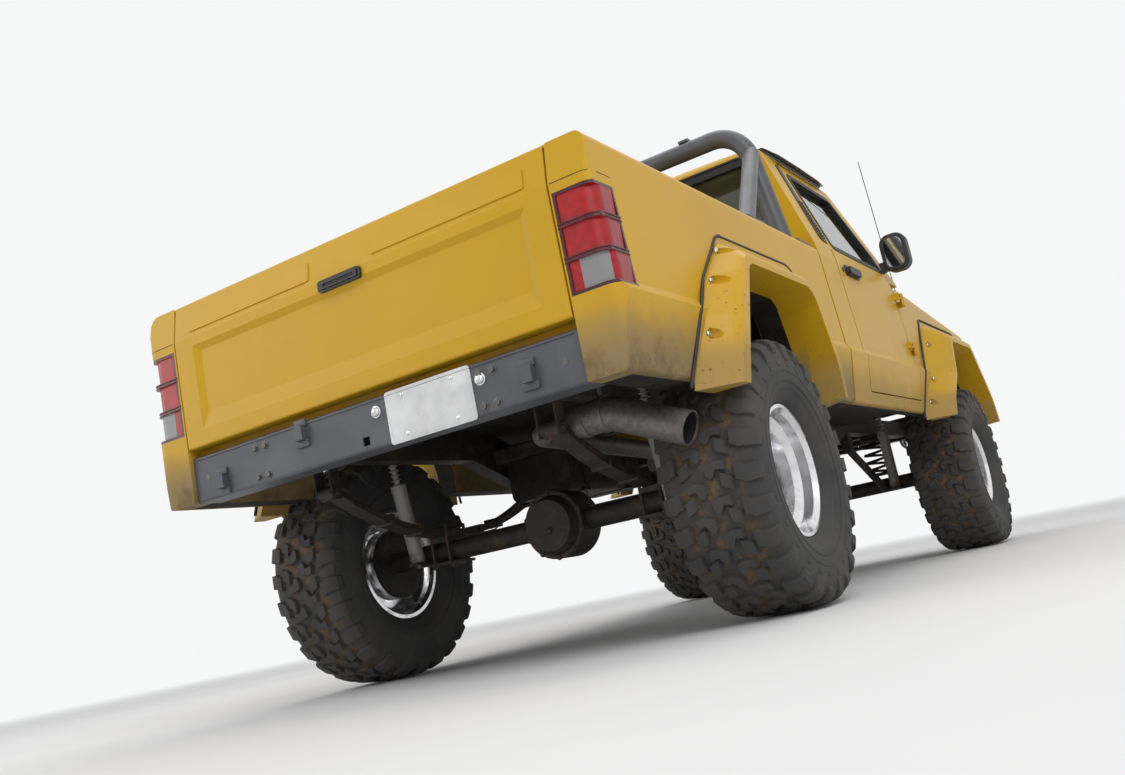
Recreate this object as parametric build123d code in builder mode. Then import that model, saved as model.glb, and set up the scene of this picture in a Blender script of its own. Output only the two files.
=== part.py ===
from build123d import *
import os

# Lifted regular-cab short-bed pickup. Millimetres. +X is the vehicle's left, -Y its front, +Z up.
# The origin is on the ground, under the middle of the vehicle's bounding box.

# Overall sizes
OVERALL_LENGTH = 4492.0
WHEELBASE = 2870.0
FRONT_OVERHANG = 744.0
FRONT_Y = -OVERALL_LENGTH / 2
REAR_Y = OVERALL_LENGTH / 2
FRONT_AXLE_Y = FRONT_Y + FRONT_OVERHANG
REAR_AXLE_Y = FRONT_AXLE_Y + WHEELBASE

# Clearances
SEAT_GAP = 0.3
PANEL_GAP = 6.0
HINGE_GAP = 8.0

# Wheels and tyres
TYRE_RADIUS = 419.0
TYRE_HALF_WIDTH = 159.0
WHEEL_X = 796.0
AXLE_Z = TYRE_RADIUS
RIM_HALF_WIDTH = 114.5
TREAD_RADIUS = 404.0
LUG_COUNT = 24
FACET_TURN = -90.0 / LUG_COUNT
LUG_INNER_X = 14.0
LUG_OUTER_X = 148.0
LUG_TOP_RADIUS = TYRE_RADIUS - 0.46
LUG_ROOT_RADIUS = TREAD_RADIUS - 20.0
SIDEWALL_FOOT_RADIUS = 296.0
BEAD_FACE_X = 121.0
# Tyre sections from its side inwards: distance from the middle, radius
TYRE_SECTIONS = ((TYRE_HALF_WIDTH, 318.0), (150.0, TREAD_RADIUS))
BEAD_RADIUS = 190.0
BEAD_HALF_WIDTH = 101.0
FLANGE_RADIUS = 207.0
BARREL_RADIUS = 158.0
BARREL_WALL = 7.0
MOUNT_FACE_INSET = 28.0
DISC_THICKNESS = 12.0
WINDOW_COUNT = 8
WINDOW_RADIUS = 24.0
WINDOW_CIRCLE = 112.0
HUB_CAP_RADIUS = 34.0
HUB_CAP_LENGTH = 52.0
HUB_RADIUS = 70.0
ROTOR_RADIUS = 140.0
ROTOR_THICKNESS = 22.0
HUB_BACK_X = 700.0

# Body side: half width and height of each corner of the section, from the rocker up
RAIL_HALF = 860.0
ROCKER_Z = 689.0
ROCKER_HALF = RAIL_HALF - 2
LEDGE_Z = 899.0
LEDGE_HALF = RAIL_HALF + 33
WAIST_Z = 924.0
WAIST_HALF = RAIL_HALF + 18
RAIL_Z = 1342.0
RAIL_ROUND = 34.0
RAIL_SEAM_Y = 1020.0
RAIL_SEAM_WIDTH = 3.0
RAIL_SEAM_DEPTH = 2.0

# Bed
BED_FRONT_Y = 358.0
BED_INNER_HALF = RAIL_HALF - 118
BED_FLOOR_Z = 850.0
BED_FLOOR_THICKNESS = 40.0
BED_WALL = 40.0
REAR_CORNER_RADIUS = 46.0

# Tailgate
TAILGATE_Y = REAR_Y - 12.0
TAILGATE_HALF = BED_INNER_HALF - PANEL_GAP
TAILGATE_BOTTOM_Z = 862.0
TAILGATE_THICKNESS = 60.0
CREASE_Z = 1220.0
TOP_LEAN = 23.0
RECESS_HALF = 657.0
RECESS_TOP_Z = 1189.0
RECESS_BOTTOM_Z = 914.0
RECESS_DEPTH = 12.0
TAILGATE_PIVOT_Y = TAILGATE_Y - 29.0
TAILGATE_PIVOT_Z = 880.0
PIVOT_RADIUS = 8.0
PIVOT_LENGTH = 20.0

# Tail lamps
LAMP_INNER_HALF = BED_INNER_HALF + 5
LAMP_FRONT_Y = TAILGATE_Y - 116
LAMP_BOTTOM_Z = 912.0
LAMP_TOP_Z = 1193.0
LAMP_FRAME = 9.0
LENS_INSET = 4.0
# Lens sections between the ribs: bottom and top
LAMP_SECTIONS = ((921.0, 1000.0), (1015.0, 1093.0), (1108.0, 1184.0))

# Cab
CAB_REAR_Y = BED_FRONT_Y - 20.0
CAB_FRONT_Y = -900.0
CAB_WALL = 45.0
BELT_Z = 1372.0
BELT_HALF = RAIL_HALF - 10
ROOF_EDGE_Z = 1866.0
ROOF_EDGE_HALF = 690.0
ROOF_Z = 1896.0
ROOF_REAR_Y = 262.0
HEADER_Y = -598.0
COWL_Z = 1350.0
WINDSHIELD_BASE_Y = -885.0
CAB_FLOOR_Z = 765.0
FLOOR_UNDER_Z = 735.0
CAB_INNER_HALF = RAIL_HALF - 60
ROOF_THICKNESS = 32.0

# Doors
DOOR_FRONT_Y = -752.0
DOOR_REAR_Y = 110.0
DOOR_REAR_TOP_Y = 88.0
DOOR_BOTTOM_Z = 748.0
DOOR_TOP_Z = 1828.0
DOOR_REBATE = 20.0
DOOR_HINGE_X = LEDGE_HALF
DOOR_HINGE_Y = DOOR_FRONT_Y - HINGE_GAP / 2
HINGE_BARREL_RADIUS = 9.0
HINGE_PIN_RADIUS = 4.0
HINGE_KNUCKLE_LENGTH = 30.0
HINGE_HEIGHTS = (1000.0, 1246.0)
GLASS_THICKNESS = 6.0

# Front end
HOOD_REAR_Y = -925.0
HOOD_FRONT_Y = -2186.0
HOOD_REAR_Z = 1338.0
HOOD_FRONT_Z = 1232.0
HOOD_HALF = 650.0
HOOD_THICKNESS = 26.0
HOOD_CROWN = 16.0
HOOD_HINGE_Y = HOOD_REAR_Y + 7.0
HOOD_HINGE_Z = HOOD_REAR_Z - 6.0
HOOD_HINGE_HALF = 560.0
HOOD_LUG_WIDTH = 30.0
HOOD_PIN_RADIUS = 2.5
HOOD_STOP_HEIGHT = PANEL_GAP - SEAT_GAP
FENDER_REAR_Y = DOOR_FRONT_Y - HINGE_GAP
FENDER_INNER_HALF = RAIL_HALF - 32
FENDER_SHELF_HALF = HOOD_HALF + PANEL_GAP
SHOULDER_RADIUS = 50.0
SHELF_THICKNESS = 30.0
APRON_THICKNESS = 10.0
APRON_BOTTOM_Z = 880.0
PANEL_FRONT_Y = -2190.0
PANEL_THICKNESS = 40.0
PANEL_BOTTOM_Z = 850.0

# Frame
RAIL_WIDTH = 70.0
FRONT_RAIL_X = 345.0
REAR_RAIL_X = 400.0
FRAME_FRONT_Y = FRONT_Y + 8.0
FRAME_REAR_Y = TAILGATE_Y - 73
FRONT_RAIL_BOTTOM_Z = 704.0
MID_RAIL_BOTTOM_Z = 640.0
REAR_RAIL_BOTTOM_Z = 750.0
# Each cross member: distance along the vehicle, height, half length
CROSS_MEMBERS = ((FRAME_REAR_Y - 81, 800, REAR_RAIL_X), (1000, 760, REAR_RAIL_X), (300, 690, REAR_RAIL_X),
                 (-420, 690, REAR_RAIL_X), (-1640, 740, FRONT_RAIL_X), (-2100, 740, FRONT_RAIL_X))

# Springs, dampers and arms
SPRING_X = 440.0
SPRING_WIDTH = 60.0
SPRING_PERCH_Z = 471.0
SPRING_THICKNESS = 26.0
SPRING_FRONT = (REAR_AXLE_Y - 568, 585.0)
SPRING_REAR = (REAR_AXLE_Y + 582, 650.0)
SPRING_EYE_RADIUS = 24.0
COIL_X = 380.0
COIL_RADIUS = 62.0
REAR_DAMPER_X = 530.0
FRONT_DAMPER_X = 470.0
DAMPER_RADIUS = 27.0
DAMPER_ROD_RADIUS = 10.0
DAMPER_FOOT_Z = 400.0

# Exhaust
PIPE_RADIUS = 30.0
TAIL_RADIUS = 50.0
TAIL_Y = REAR_AXLE_Y + 480

# Steering
KINGPIN_X = 655.0
STEER_ARM = 195.0
KNUCKLE_RADIUS = 26.0
KINGPIN_RADIUS = 12.0
YOKE_HALF_HEIGHT = 95.0
YOKE_ARM = 22.0
YOKE_WEB_X = KINGPIN_X - 52.0
TIE_ROD_Z = 400.0
TIE_ROD_RADIUS = 13.0
TIE_EYE_RADIUS = 16.0
TIE_PIN_RADIUS = 8.0
AXLE_TUBE_RADIUS = 38.0

# Bumper
BUMPER_Y = FRAME_REAR_Y + 60
BUMPER_HALF = 738.0
BUMPER_BOTTOM_Z = 689.0
BUMPER_TOP_Z = 835.0
PLATE_HOLE_PITCH_X = 178.0
PLATE_HOLE_PITCH_Z = 76.0
PLATE_HOLE_RADIUS = 3.5

LEFT_HALF = ((ROCKER_HALF, ROCKER_Z, 10), (LEDGE_HALF, LEDGE_Z, 6), (WAIST_HALF, WAIST_Z, 12))

SIDE_LEVELS = LEFT_HALF + ((RAIL_HALF, RAIL_Z, 0),)

# Wheel arches: outlines of the opening and of the flare's seal on the body.
# Each corner is distance behind the axle, height, corner radius.
REAR_OPENING = ((395, 600, 0), (150, 1046, 60), (-425, 1042, 90), (-515, 780, 120), (-500, 600, 0))
REAR_SEAL = ((515, 640, 0), (408, 880, 60), (290, 1010, 80), (90, 1182, 90), (-600, 1182, 110),
             (-690, 900, 120), (-680, 640, 0))
REAR_CREST = ((425, 640, 0), (292, 882, 260), (216, 1008, 260), (176, 1068, 60), (-452, 1064, 90),
              (-545, 780, 120), (-530, 640, 0))
FRONT_OPENING = ((620, 600, 0), (507, 743, 60), (318, 879, 60), (225, 1062, 60), (-225, 1062, 90),
                 (-480, 790, 120), (-520, 600, 0))
FRONT_SEAL = ((741, 640, 0), (735, 690, 20), (632, 900, 60), (385, 1192, 60), (-400, 1192, 110),
              (-620, 900, 120), (-650, 640, 0))
FRONT_CREST = ((650, 640, 0), (535, 748, 60), (345, 889, 60), (248, 1086, 60), (-245, 1086, 90),
               (-505, 800, 120), (-550, 640, 0))
FLARE_ROOT = RAIL_HALF - 30
FLARE_SHOULDER = RAIL_HALF + 92
FLARE_SHOULDER_SHARE = 0.78
FLARE_PROUD = RAIL_HALF + 115
POCKET_RADIUS = 19.0
POCKET_FLOOR = 14.0
# Flare pockets: distance behind the axle, height
REAR_POCKETS = ((155, 1110), (266, 997), (387, 819), (-560, 1110), (-581, 997), (-622, 819))
FRONT_POCKETS = ((405, 1050), (540, 860), (640, 740), (-411, 1050), (-533, 900), (-586, 760))
FLARE_BOTTOM_Z = 655.0


def fill(corners):
    """Fill the closed outline through corners of (u, v, corner radius) in the open sketch."""
    with BuildLine() as line:
        FilletPolyline([(u, v) for u, v, r in corners], radius=[r for u, v, r in corners], close=True)
    make_face(line.edges())


def both_halves(corners):
    """A left half outline and its mirror image, as one closed list of corners."""
    return list(corners) + [(-u, v, r) for u, v, r in reversed(corners)]


def about(axle_y, corners):
    """Wheel arch corners moved to their axle."""
    return [(axle_y + a, z, r) for a, z, r in corners]


def between(first, second, share):
    """Corners part of the way from one outline to another that has as many corners."""
    return [tuple(a + (b - a) * share for a, b in zip(p, q)) for p, q in zip(first, second)]


def side_at(z):
    """Half width of the body side at a height."""
    for (low_x, low, _), (high_x, high, _) in zip(SIDE_LEVELS, SIDE_LEVELS[1:]):
        if z <= high:
            return low_x + (high_x - low_x) * (z - low) / (high - low)
    return high_x


def save(builder, name):
    """Label a finished piece and write its STEP file."""
    builder.part.label = name
    export_step(builder.part, f"parts/{name}.step")


def save_mirrored(builder, name):
    """Write the piece's mirror image on the vehicle's other side."""
    with BuildPart() as other:
        mirror(builder.part, about=Plane.YZ)
    save(other, name)


os.makedirs("parts", exist_ok=True)

# Bed side blank, left: the whole wall as one section along the bed
with BuildPart() as bed_blank:
    with BuildSketch(Plane.XZ.offset(-TAILGATE_Y)):
        fill(((BED_INNER_HALF, ROCKER_Z, 0),) + LEFT_HALF
             + ((RAIL_HALF, RAIL_Z, RAIL_ROUND), (BED_INNER_HALF, RAIL_Z, 6)))
    extrude(amount=TAILGATE_Y - BED_FRONT_Y)
    with BuildSketch(Plane.YZ):
        fill(((TAILGATE_Y, CREASE_Z, 0), (TAILGATE_Y - TOP_LEAN, RAIL_Z, 0),
              (TAILGATE_Y - TOP_LEAN, RAIL_Z + 50, 0), (TAILGATE_Y + 50, RAIL_Z + 50, 0),
              (TAILGATE_Y + 50, CREASE_Z, 0)))
    extrude(amount=1000, mode=Mode.SUBTRACT)
    with BuildSketch(Plane.XY.offset(WAIST_Z)):
        with Locations((WAIST_HALF + 2 - REAR_CORNER_RADIUS, TAILGATE_Y - REAR_CORNER_RADIUS)):
            Rectangle(REAR_CORNER_RADIUS * 2, REAR_CORNER_RADIUS * 2, align=(Align.MIN, Align.MIN))
            Circle(REAR_CORNER_RADIUS, mode=Mode.SUBTRACT)
    extrude(amount=RAIL_Z, mode=Mode.SUBTRACT)
    with BuildSketch(Plane.XY.offset(ROCKER_Z - 10)):
        with Locations((LEDGE_HALF - REAR_CORNER_RADIUS, TAILGATE_Y - REAR_CORNER_RADIUS)):
            Rectangle(REAR_CORNER_RADIUS * 2, REAR_CORNER_RADIUS * 2, align=(Align.MIN, Align.MIN))
            Circle(REAR_CORNER_RADIUS, mode=Mode.SUBTRACT)
    extrude(amount=WAIST_Z - ROCKER_Z + 10, mode=Mode.SUBTRACT)

# Tail lamps: the rear corner of the body between the tailgate and the side
with BuildPart() as tail_lamps:
    add(bed_blank.part)
    with BuildSketch(Plane.XY.offset(LAMP_BOTTOM_Z)):
        with Locations((LAMP_INNER_HALF, LAMP_FRONT_Y)):
            Rectangle(300, 300, align=(Align.MIN, Align.MIN))
    extrude(amount=LAMP_TOP_Z - LAMP_BOTTOM_Z, mode=Mode.INTERSECT)
    for low, high in LAMP_SECTIONS:
        with BuildSketch(Plane.XY.offset(low)):
            with Locations((LAMP_INNER_HALF + LAMP_FRAME, LAMP_FRONT_Y + LAMP_FRAME)):
                Rectangle(300, 300, align=(Align.MIN, Align.MIN))
            with Locations((side_at(low) - LENS_INSET, TAILGATE_Y - LENS_INSET)):
                RectangleRounded(400, 400, REAR_CORNER_RADIUS, align=(Align.MAX, Align.MAX),
                                 mode=Mode.SUBTRACT)
        extrude(amount=high - low, mode=Mode.SUBTRACT)
    mirror(about=Plane.YZ)
save(tail_lamps, "tail_lamps")

# Bed sides with their wheel arches, lamp corners and tailgate pins
with BuildPart() as bed_sides:
    add(bed_blank.part)
    with BuildSketch(Plane.XY.offset(LAMP_BOTTOM_Z)):
        with Locations((LAMP_INNER_HALF, LAMP_FRONT_Y)):
            Rectangle(300, 300, align=(Align.MIN, Align.MIN))
    extrude(amount=LAMP_TOP_Z - LAMP_BOTTOM_Z, mode=Mode.SUBTRACT)
    with BuildSketch(Plane.YZ.offset(BED_INNER_HALF - 20)):
        fill(about(REAR_AXLE_Y, REAR_OPENING))
    extrude(amount=300, mode=Mode.SUBTRACT)
    with BuildSketch(Plane.YZ.offset(BED_INNER_HALF - PIVOT_LENGTH)):
        with Locations((TAILGATE_PIVOT_Y, TAILGATE_PIVOT_Z)):
            Circle(PIVOT_RADIUS)
    extrude(amount=PIVOT_LENGTH + 5)
    with BuildSketch(Plane.XY.offset(RAIL_Z - RAIL_SEAM_DEPTH)):
        with Locations((RAIL_HALF, RAIL_SEAM_Y)):
            Rectangle(400, RAIL_SEAM_WIDTH)
    extrude(amount=20, mode=Mode.SUBTRACT)
    mirror(about=Plane.YZ)
save(bed_sides, "bed_sides")

# Bed floor with its front wall and the two wheel houses
HOUSE_INNER = 600.0
HOUSE_TOP_Z = 1120.0
HOUSE_FRONT_Y = REAR_AXLE_Y - 560
HOUSE_REAR_Y = REAR_AXLE_Y + 330
HOUSE_WALL = 8.0
BED_FLOOR_REAR_Y = TAILGATE_Y - 74
with BuildPart() as bed_floor:
    with BuildSketch(Plane.XY.offset(BED_FLOOR_Z)):
        with Locations((0, BED_FRONT_Y)):
            Rectangle(2 * BED_INNER_HALF, BED_FLOOR_REAR_Y - BED_FRONT_Y, align=(Align.CENTER, Align.MIN))
    extrude(amount=BED_FLOOR_THICKNESS)
    with BuildSketch(Plane.XY.offset(BED_FLOOR_Z + BED_FLOOR_THICKNESS)):
        with Locations((0, BED_FRONT_Y)):
            Rectangle(2 * BED_INNER_HALF, BED_WALL, align=(Align.CENTER, Align.MIN))
    extrude(amount=RAIL_Z - 12 - BED_FLOOR_Z - BED_FLOOR_THICKNESS)
    for side in (1, -1):
        with BuildSketch(Plane.YZ.offset(side * HOUSE_INNER)):
            fill(((HOUSE_FRONT_Y, BED_FLOOR_Z, 0), (HOUSE_REAR_Y, BED_FLOOR_Z, 0),
                  (HOUSE_REAR_Y, HOUSE_TOP_Z, 120), (HOUSE_FRONT_Y, HOUSE_TOP_Z, 160)))
        extrude(amount=side * (BED_INNER_HALF - HOUSE_INNER))
        with BuildSketch(Plane.YZ.offset(side * (HOUSE_INNER + HOUSE_WALL))):
            fill(((HOUSE_FRONT_Y + HOUSE_WALL, BED_FLOOR_Z - 10, 0),
                  (HOUSE_REAR_Y - HOUSE_WALL, BED_FLOOR_Z - 10, 0),
                  (HOUSE_REAR_Y - HOUSE_WALL, HOUSE_TOP_Z - HOUSE_WALL, 112),
                  (HOUSE_FRONT_Y + HOUSE_WALL, HOUSE_TOP_Z - HOUSE_WALL, 152)))
        extrude(amount=side * 300, mode=Mode.SUBTRACT)
save(bed_floor, "bed_floor")

# Tailgate: leaning top, sloped-sided recess and two raised panels above the crease
with BuildPart() as tailgate:
    with BuildSketch(Plane.YZ.offset(-TAILGATE_HALF)):
        fill(((TAILGATE_Y - TAILGATE_THICKNESS, TAILGATE_BOTTOM_Z, 4),
              (TAILGATE_Y, TAILGATE_BOTTOM_Z, 6), (TAILGATE_Y, CREASE_Z, 0),
              (TAILGATE_Y - TOP_LEAN, RAIL_Z, 10), (TAILGATE_Y - TAILGATE_THICKNESS, RAIL_Z, 10)))
    extrude(amount=2 * TAILGATE_HALF)
    with BuildSketch(Plane.XZ.offset(-TAILGATE_Y)):
        with Locations((0, (RECESS_TOP_Z + RECESS_BOTTOM_Z) / 2)):
            Rectangle(2 * RECESS_HALF, RECESS_TOP_Z - RECESS_BOTTOM_Z)
    with BuildSketch(Plane.XZ.offset(-TAILGATE_Y + RECESS_DEPTH)):
        with Locations((0, (RECESS_TOP_Z - 20 + RECESS_BOTTOM_Z + 52) / 2)):
            Rectangle(2 * (RECESS_HALF - 24), RECESS_TOP_Z - RECESS_BOTTOM_Z - 72)
    loft(mode=Mode.SUBTRACT)
    for side in (1, -1):
        with BuildSketch(Plane.YZ.offset(side * TAILGATE_HALF)):
            with Locations((TAILGATE_PIVOT_Y, TAILGATE_PIVOT_Z)):
                Circle(PIVOT_RADIUS + SEAT_GAP)
        extrude(amount=-side * (PIVOT_LENGTH - 6 + 4), mode=Mode.SUBTRACT)
LEAN_PLANE = Plane(origin=(0, TAILGATE_Y - TOP_LEAN / 2, (CREASE_Z + RAIL_Z) / 2), x_dir=(-1, 0, 0),
                   z_dir=(0, RAIL_Z - CREASE_Z, TOP_LEAN))
with BuildPart() as tailgate_full:
    add(tailgate.part)
    with BuildSketch(LEAN_PLANE):
        with Locations((-396, -14), (396, -14)):
            RectangleRounded(542, 60, 6)
    extrude(amount=4)
save(tailgate_full, "tailgate")

# Tailgate handle: a black paddle in its housing, over the crease
with BuildPart() as tailgate_handle:
    with BuildSketch(Plane.XZ.offset(-TAILGATE_Y)):
        with Locations((0, RECESS_TOP_Z + 12)):
            RectangleRounded(146, 22, 4)
    extrude(amount=-(REAR_Y - TAILGATE_Y))
    with BuildSketch(Plane.XZ.offset(-TAILGATE_Y - 3)):
        with Locations((0, RECESS_TOP_Z + 12)):
            RectangleRounded(120, 8, 2)
    extrude(amount=-(REAR_Y - TAILGATE_Y), mode=Mode.SUBTRACT)
save(tailgate_handle, "tailgate_handle")

# Rear bumper: a flanged beam with the stubs of old brackets
with BuildPart() as rear_bumper:
    with BuildSketch(Plane.YZ.offset(-BUMPER_HALF)):
        fill(((BUMPER_Y - 90, BUMPER_BOTTOM_Z, 0), (BUMPER_Y, BUMPER_BOTTOM_Z, 8),
              (BUMPER_Y, BUMPER_TOP_Z, 8), (BUMPER_Y - 60, BUMPER_TOP_Z, 0),
              (BUMPER_Y - 60, BUMPER_TOP_Z - 6, 0), (BUMPER_Y - 6, BUMPER_TOP_Z - 6, 0),
              (BUMPER_Y - 6, BUMPER_BOTTOM_Z + 6, 0), (BUMPER_Y - 90, BUMPER_BOTTOM_Z + 6, 0)))
    extrude(amount=2 * BUMPER_HALF)
    for x, z in ((610, 734), (252, 800), (-571, 757)):
        with BuildSketch(Plane.XZ.offset(-BUMPER_Y)):
            with Locations((x, z)):
                Rectangle(34, 44)
        extrude(amount=-22)
    for side in (1, -1):
        with BuildSketch(Plane.XY.offset(BUMPER_BOTTOM_Z + 5)):
            with Locations((side * (REAR_RAIL_X + RAIL_WIDTH / 2), BUMPER_Y - 6)):
                Rectangle(RAIL_WIDTH, 84, align=(Align.CENTER, Align.MAX))
        extrude(amount=REAR_RAIL_BOTTOM_Z - BUMPER_BOTTOM_Z - 5)
    with BuildSketch(Plane.XZ.offset(-BUMPER_Y - 5)):
        with Locations((12, 718)):
            Rectangle(26, 26)
    extrude(amount=30, mode=Mode.SUBTRACT)
save(rear_bumper, "rear_bumper")

# Number plate, blank
with BuildPart() as number_plate:
    with BuildSketch(Plane.XZ.offset(-BUMPER_Y)):
        with Locations((-233, 760)):
            RectangleRounded(305, 152, 10)
    extrude(amount=-3)
save(number_plate, "number_plate")

# Cab: outer and inner forms, each the meeting of a side view and a front view
GREENHOUSE_HALF = LEFT_HALF + ((RAIL_HALF, 1310, 60), (BELT_HALF, BELT_Z, 30),
                               (ROOF_EDGE_HALF, ROOF_EDGE_Z, 50), (300, ROOF_Z - 3, 900))
with BuildPart() as cab_outer:
    with BuildSketch(Plane.YZ):
        fill(((CAB_FRONT_Y, ROCKER_Z, 0), (CAB_REAR_Y, ROCKER_Z, 0), (CAB_REAR_Y, 1400, 0),
              (ROOF_REAR_Y, ROOF_Z, 70), (HEADER_Y, ROOF_Z, 60), (WINDSHIELD_BASE_Y, COWL_Z + 12, 0),
              (CAB_FRONT_Y, COWL_Z, 0)))
    extrude(amount=1000, both=True)
    with BuildSketch(Plane.XZ):
        fill(both_halves(GREENHOUSE_HALF))
    extrude(amount=3000, both=True, mode=Mode.INTERSECT)
with BuildPart() as cab_inner:
    with BuildSketch(Plane.YZ):
        fill(((CAB_FRONT_Y + 40, CAB_FLOOR_Z, 0), (CAB_REAR_Y - CAB_WALL, CAB_FLOOR_Z, 0),
              (CAB_REAR_Y - CAB_WALL, 1400, 0), (ROOF_REAR_Y - 40, ROOF_Z - ROOF_THICKNESS, 40),
              (HEADER_Y + 28, ROOF_Z - ROOF_THICKNESS, 40), (WINDSHIELD_BASE_Y + 47, COWL_Z + 12, 0),
              (CAB_FRONT_Y + 40, COWL_Z - 20, 0)))
    extrude(amount=1000, both=True)
    with BuildSketch(Plane.XZ):
        fill(both_halves(((CAB_INNER_HALF, CAB_FLOOR_Z, 0), (CAB_INNER_HALF, 1310, 0),
                          (BELT_HALF - 57, BELT_Z, 0), (ROOF_EDGE_HALF - 50, ROOF_EDGE_Z - 36, 50),
                          (300, ROOF_Z - 3 - ROOF_THICKNESS, 900))))
    extrude(amount=3000, both=True, mode=Mode.INTERSECT)

DOOR_FOOT = ((DOOR_FRONT_Y, DOOR_BOTTOM_Z, 20), (DOOR_REAR_Y, DOOR_BOTTOM_Z, 20), (DOOR_REAR_Y, BELT_Z, 0))
DOOR_HEAD = ((-555, DOOR_TOP_Z, 60), (DOOR_FRONT_Y, 1461, 60))
DOOR_OUTLINE = DOOR_FOOT + ((DOOR_REAR_TOP_Y, DOOR_TOP_Z, 50),) + DOOR_HEAD
DOOR_OPENING = DOOR_FOOT + ((DOOR_REAR_TOP_Y, DOOR_TOP_Z, 10),) + DOOR_HEAD
WINDOW_OUTLINE = ((-700, 1385, 30), (DOOR_REAR_Y - 45, 1385, 30), (DOOR_REAR_TOP_Y - 43, 1782, 40),
                  (-532, 1782, 40), (-700, 1480, 40))
WINDSHIELD_PLANE = Plane(origin=(0, (HEADER_Y + WINDSHIELD_BASE_Y) / 2, (ROOF_Z + COWL_Z + 12) / 2),
                         x_dir=(1, 0, 0),
                         z_dir=(0, -(ROOF_Z - COWL_Z - 12), HEADER_Y - WINDSHIELD_BASE_Y))
WINDSHIELD = ((700, -240, 40), (600, 225, 50), (-600, 225, 50), (-700, -240, 40))
REAR_WINDOW = ((735, 1440, 40), (640, 1826, 60), (-640, 1826, 60), (-735, 1440, 40))

# Cab shell: door, windshield and rear window openings cut, cowl sides set back for the fenders
with BuildPart() as cab_shell:
    add(cab_outer.part)
    add(cab_inner.part, mode=Mode.SUBTRACT)
    with BuildSketch(Plane.YZ.offset(-1000)):
        fill(DOOR_OPENING)
        offset(amount=PANEL_GAP, kind=Kind.ARC)
    extrude(amount=2000, mode=Mode.SUBTRACT)
    with BuildSketch(Plane.XY.offset(FLOOR_UNDER_Z)):
        with Locations((0, DOOR_FRONT_Y - 20)):
            Rectangle(2 * (CAB_INNER_HALF - PANEL_GAP), DOOR_REAR_Y - DOOR_FRONT_Y + 40,
                      align=(Align.CENTER, Align.MIN))
    extrude(amount=CAB_FLOOR_Z - FLOOR_UNDER_Z)
    with BuildSketch(WINDSHIELD_PLANE):
        fill(WINDSHIELD)
    extrude(amount=100, both=True, mode=Mode.SUBTRACT)
    with BuildSketch(Plane.XZ.offset(-CAB_REAR_Y - 50)):
        fill(REAR_WINDOW)
    extrude(amount=250, mode=Mode.SUBTRACT)
    for side in (1, -1):
        with BuildSketch(Plane.YZ.offset(side * (FENDER_INNER_HALF - 1))):
            fill(((CAB_FRONT_Y - 10, ROCKER_Z - 10, 0), (FENDER_REAR_Y + 2, ROCKER_Z - 10, 0),
                  (FENDER_REAR_Y + 2, HOOD_REAR_Z + 4, 0), (CAB_FRONT_Y - 10, HOOD_REAR_Z + 4, 0)))
        extrude(amount=side * 200, mode=Mode.SUBTRACT)
    with BuildSketch(Plane.XY.offset(ROCKER_Z - 1)):
        with Locations((0, (CAB_FRONT_Y + CAB_REAR_Y) / 2)):
            Rectangle(2 * (CAB_INNER_HALF - 10), CAB_REAR_Y - CAB_FRONT_Y + 10)
    extrude(amount=FLOOR_UNDER_Z - ROCKER_Z + 1, mode=Mode.SUBTRACT)
    with BuildSketch(Plane.YZ.offset(-HOOD_HINGE_HALF)):
        with Locations((HOOD_HINGE_Y, HOOD_HINGE_Z)):
            Circle(HOOD_PIN_RADIUS)
    extrude(amount=2 * HOOD_HINGE_HALF)
    with BuildSketch(Plane.YZ.offset(-HOOD_HINGE_HALF + HOOD_LUG_WIDTH + 2)):
        with Locations((CAB_FRONT_Y, HOOD_HINGE_Z)):
            Rectangle(CAB_FRONT_Y - HOOD_HINGE_Y, 8, align=(Align.MAX, Align.CENTER))
    extrude(amount=2 * (HOOD_HINGE_HALF - HOOD_LUG_WIDTH - 2))
save(cab_shell, "cab_shell")

# Cab glass: windshield and rear window panes
with BuildPart() as cab_glass:
    with BuildSketch(WINDSHIELD_PLANE.offset(-20)):
        fill(WINDSHIELD)
    extrude(amount=GLASS_THICKNESS)
with BuildPart() as rear_pane:
    with BuildSketch(Plane.XZ.offset(-CAB_REAR_Y)):
        fill(REAR_WINDOW)
    extrude(amount=200)
    with BuildSketch(Plane.YZ.offset(-1000)):
        fill(((CAB_REAR_Y - 22, 1400, 0), (CAB_REAR_Y - 16, 1400, 0), (ROOF_REAR_Y - 16, ROOF_Z, 0),
              (ROOF_REAR_Y - 22, ROOF_Z, 0)))
    extrude(amount=2000, mode=Mode.INTERSECT)
with BuildPart() as cab_glass_full:
    add(cab_glass.part)
    add(rear_pane.part)
save(cab_glass_full, "cab_glass")

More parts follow.
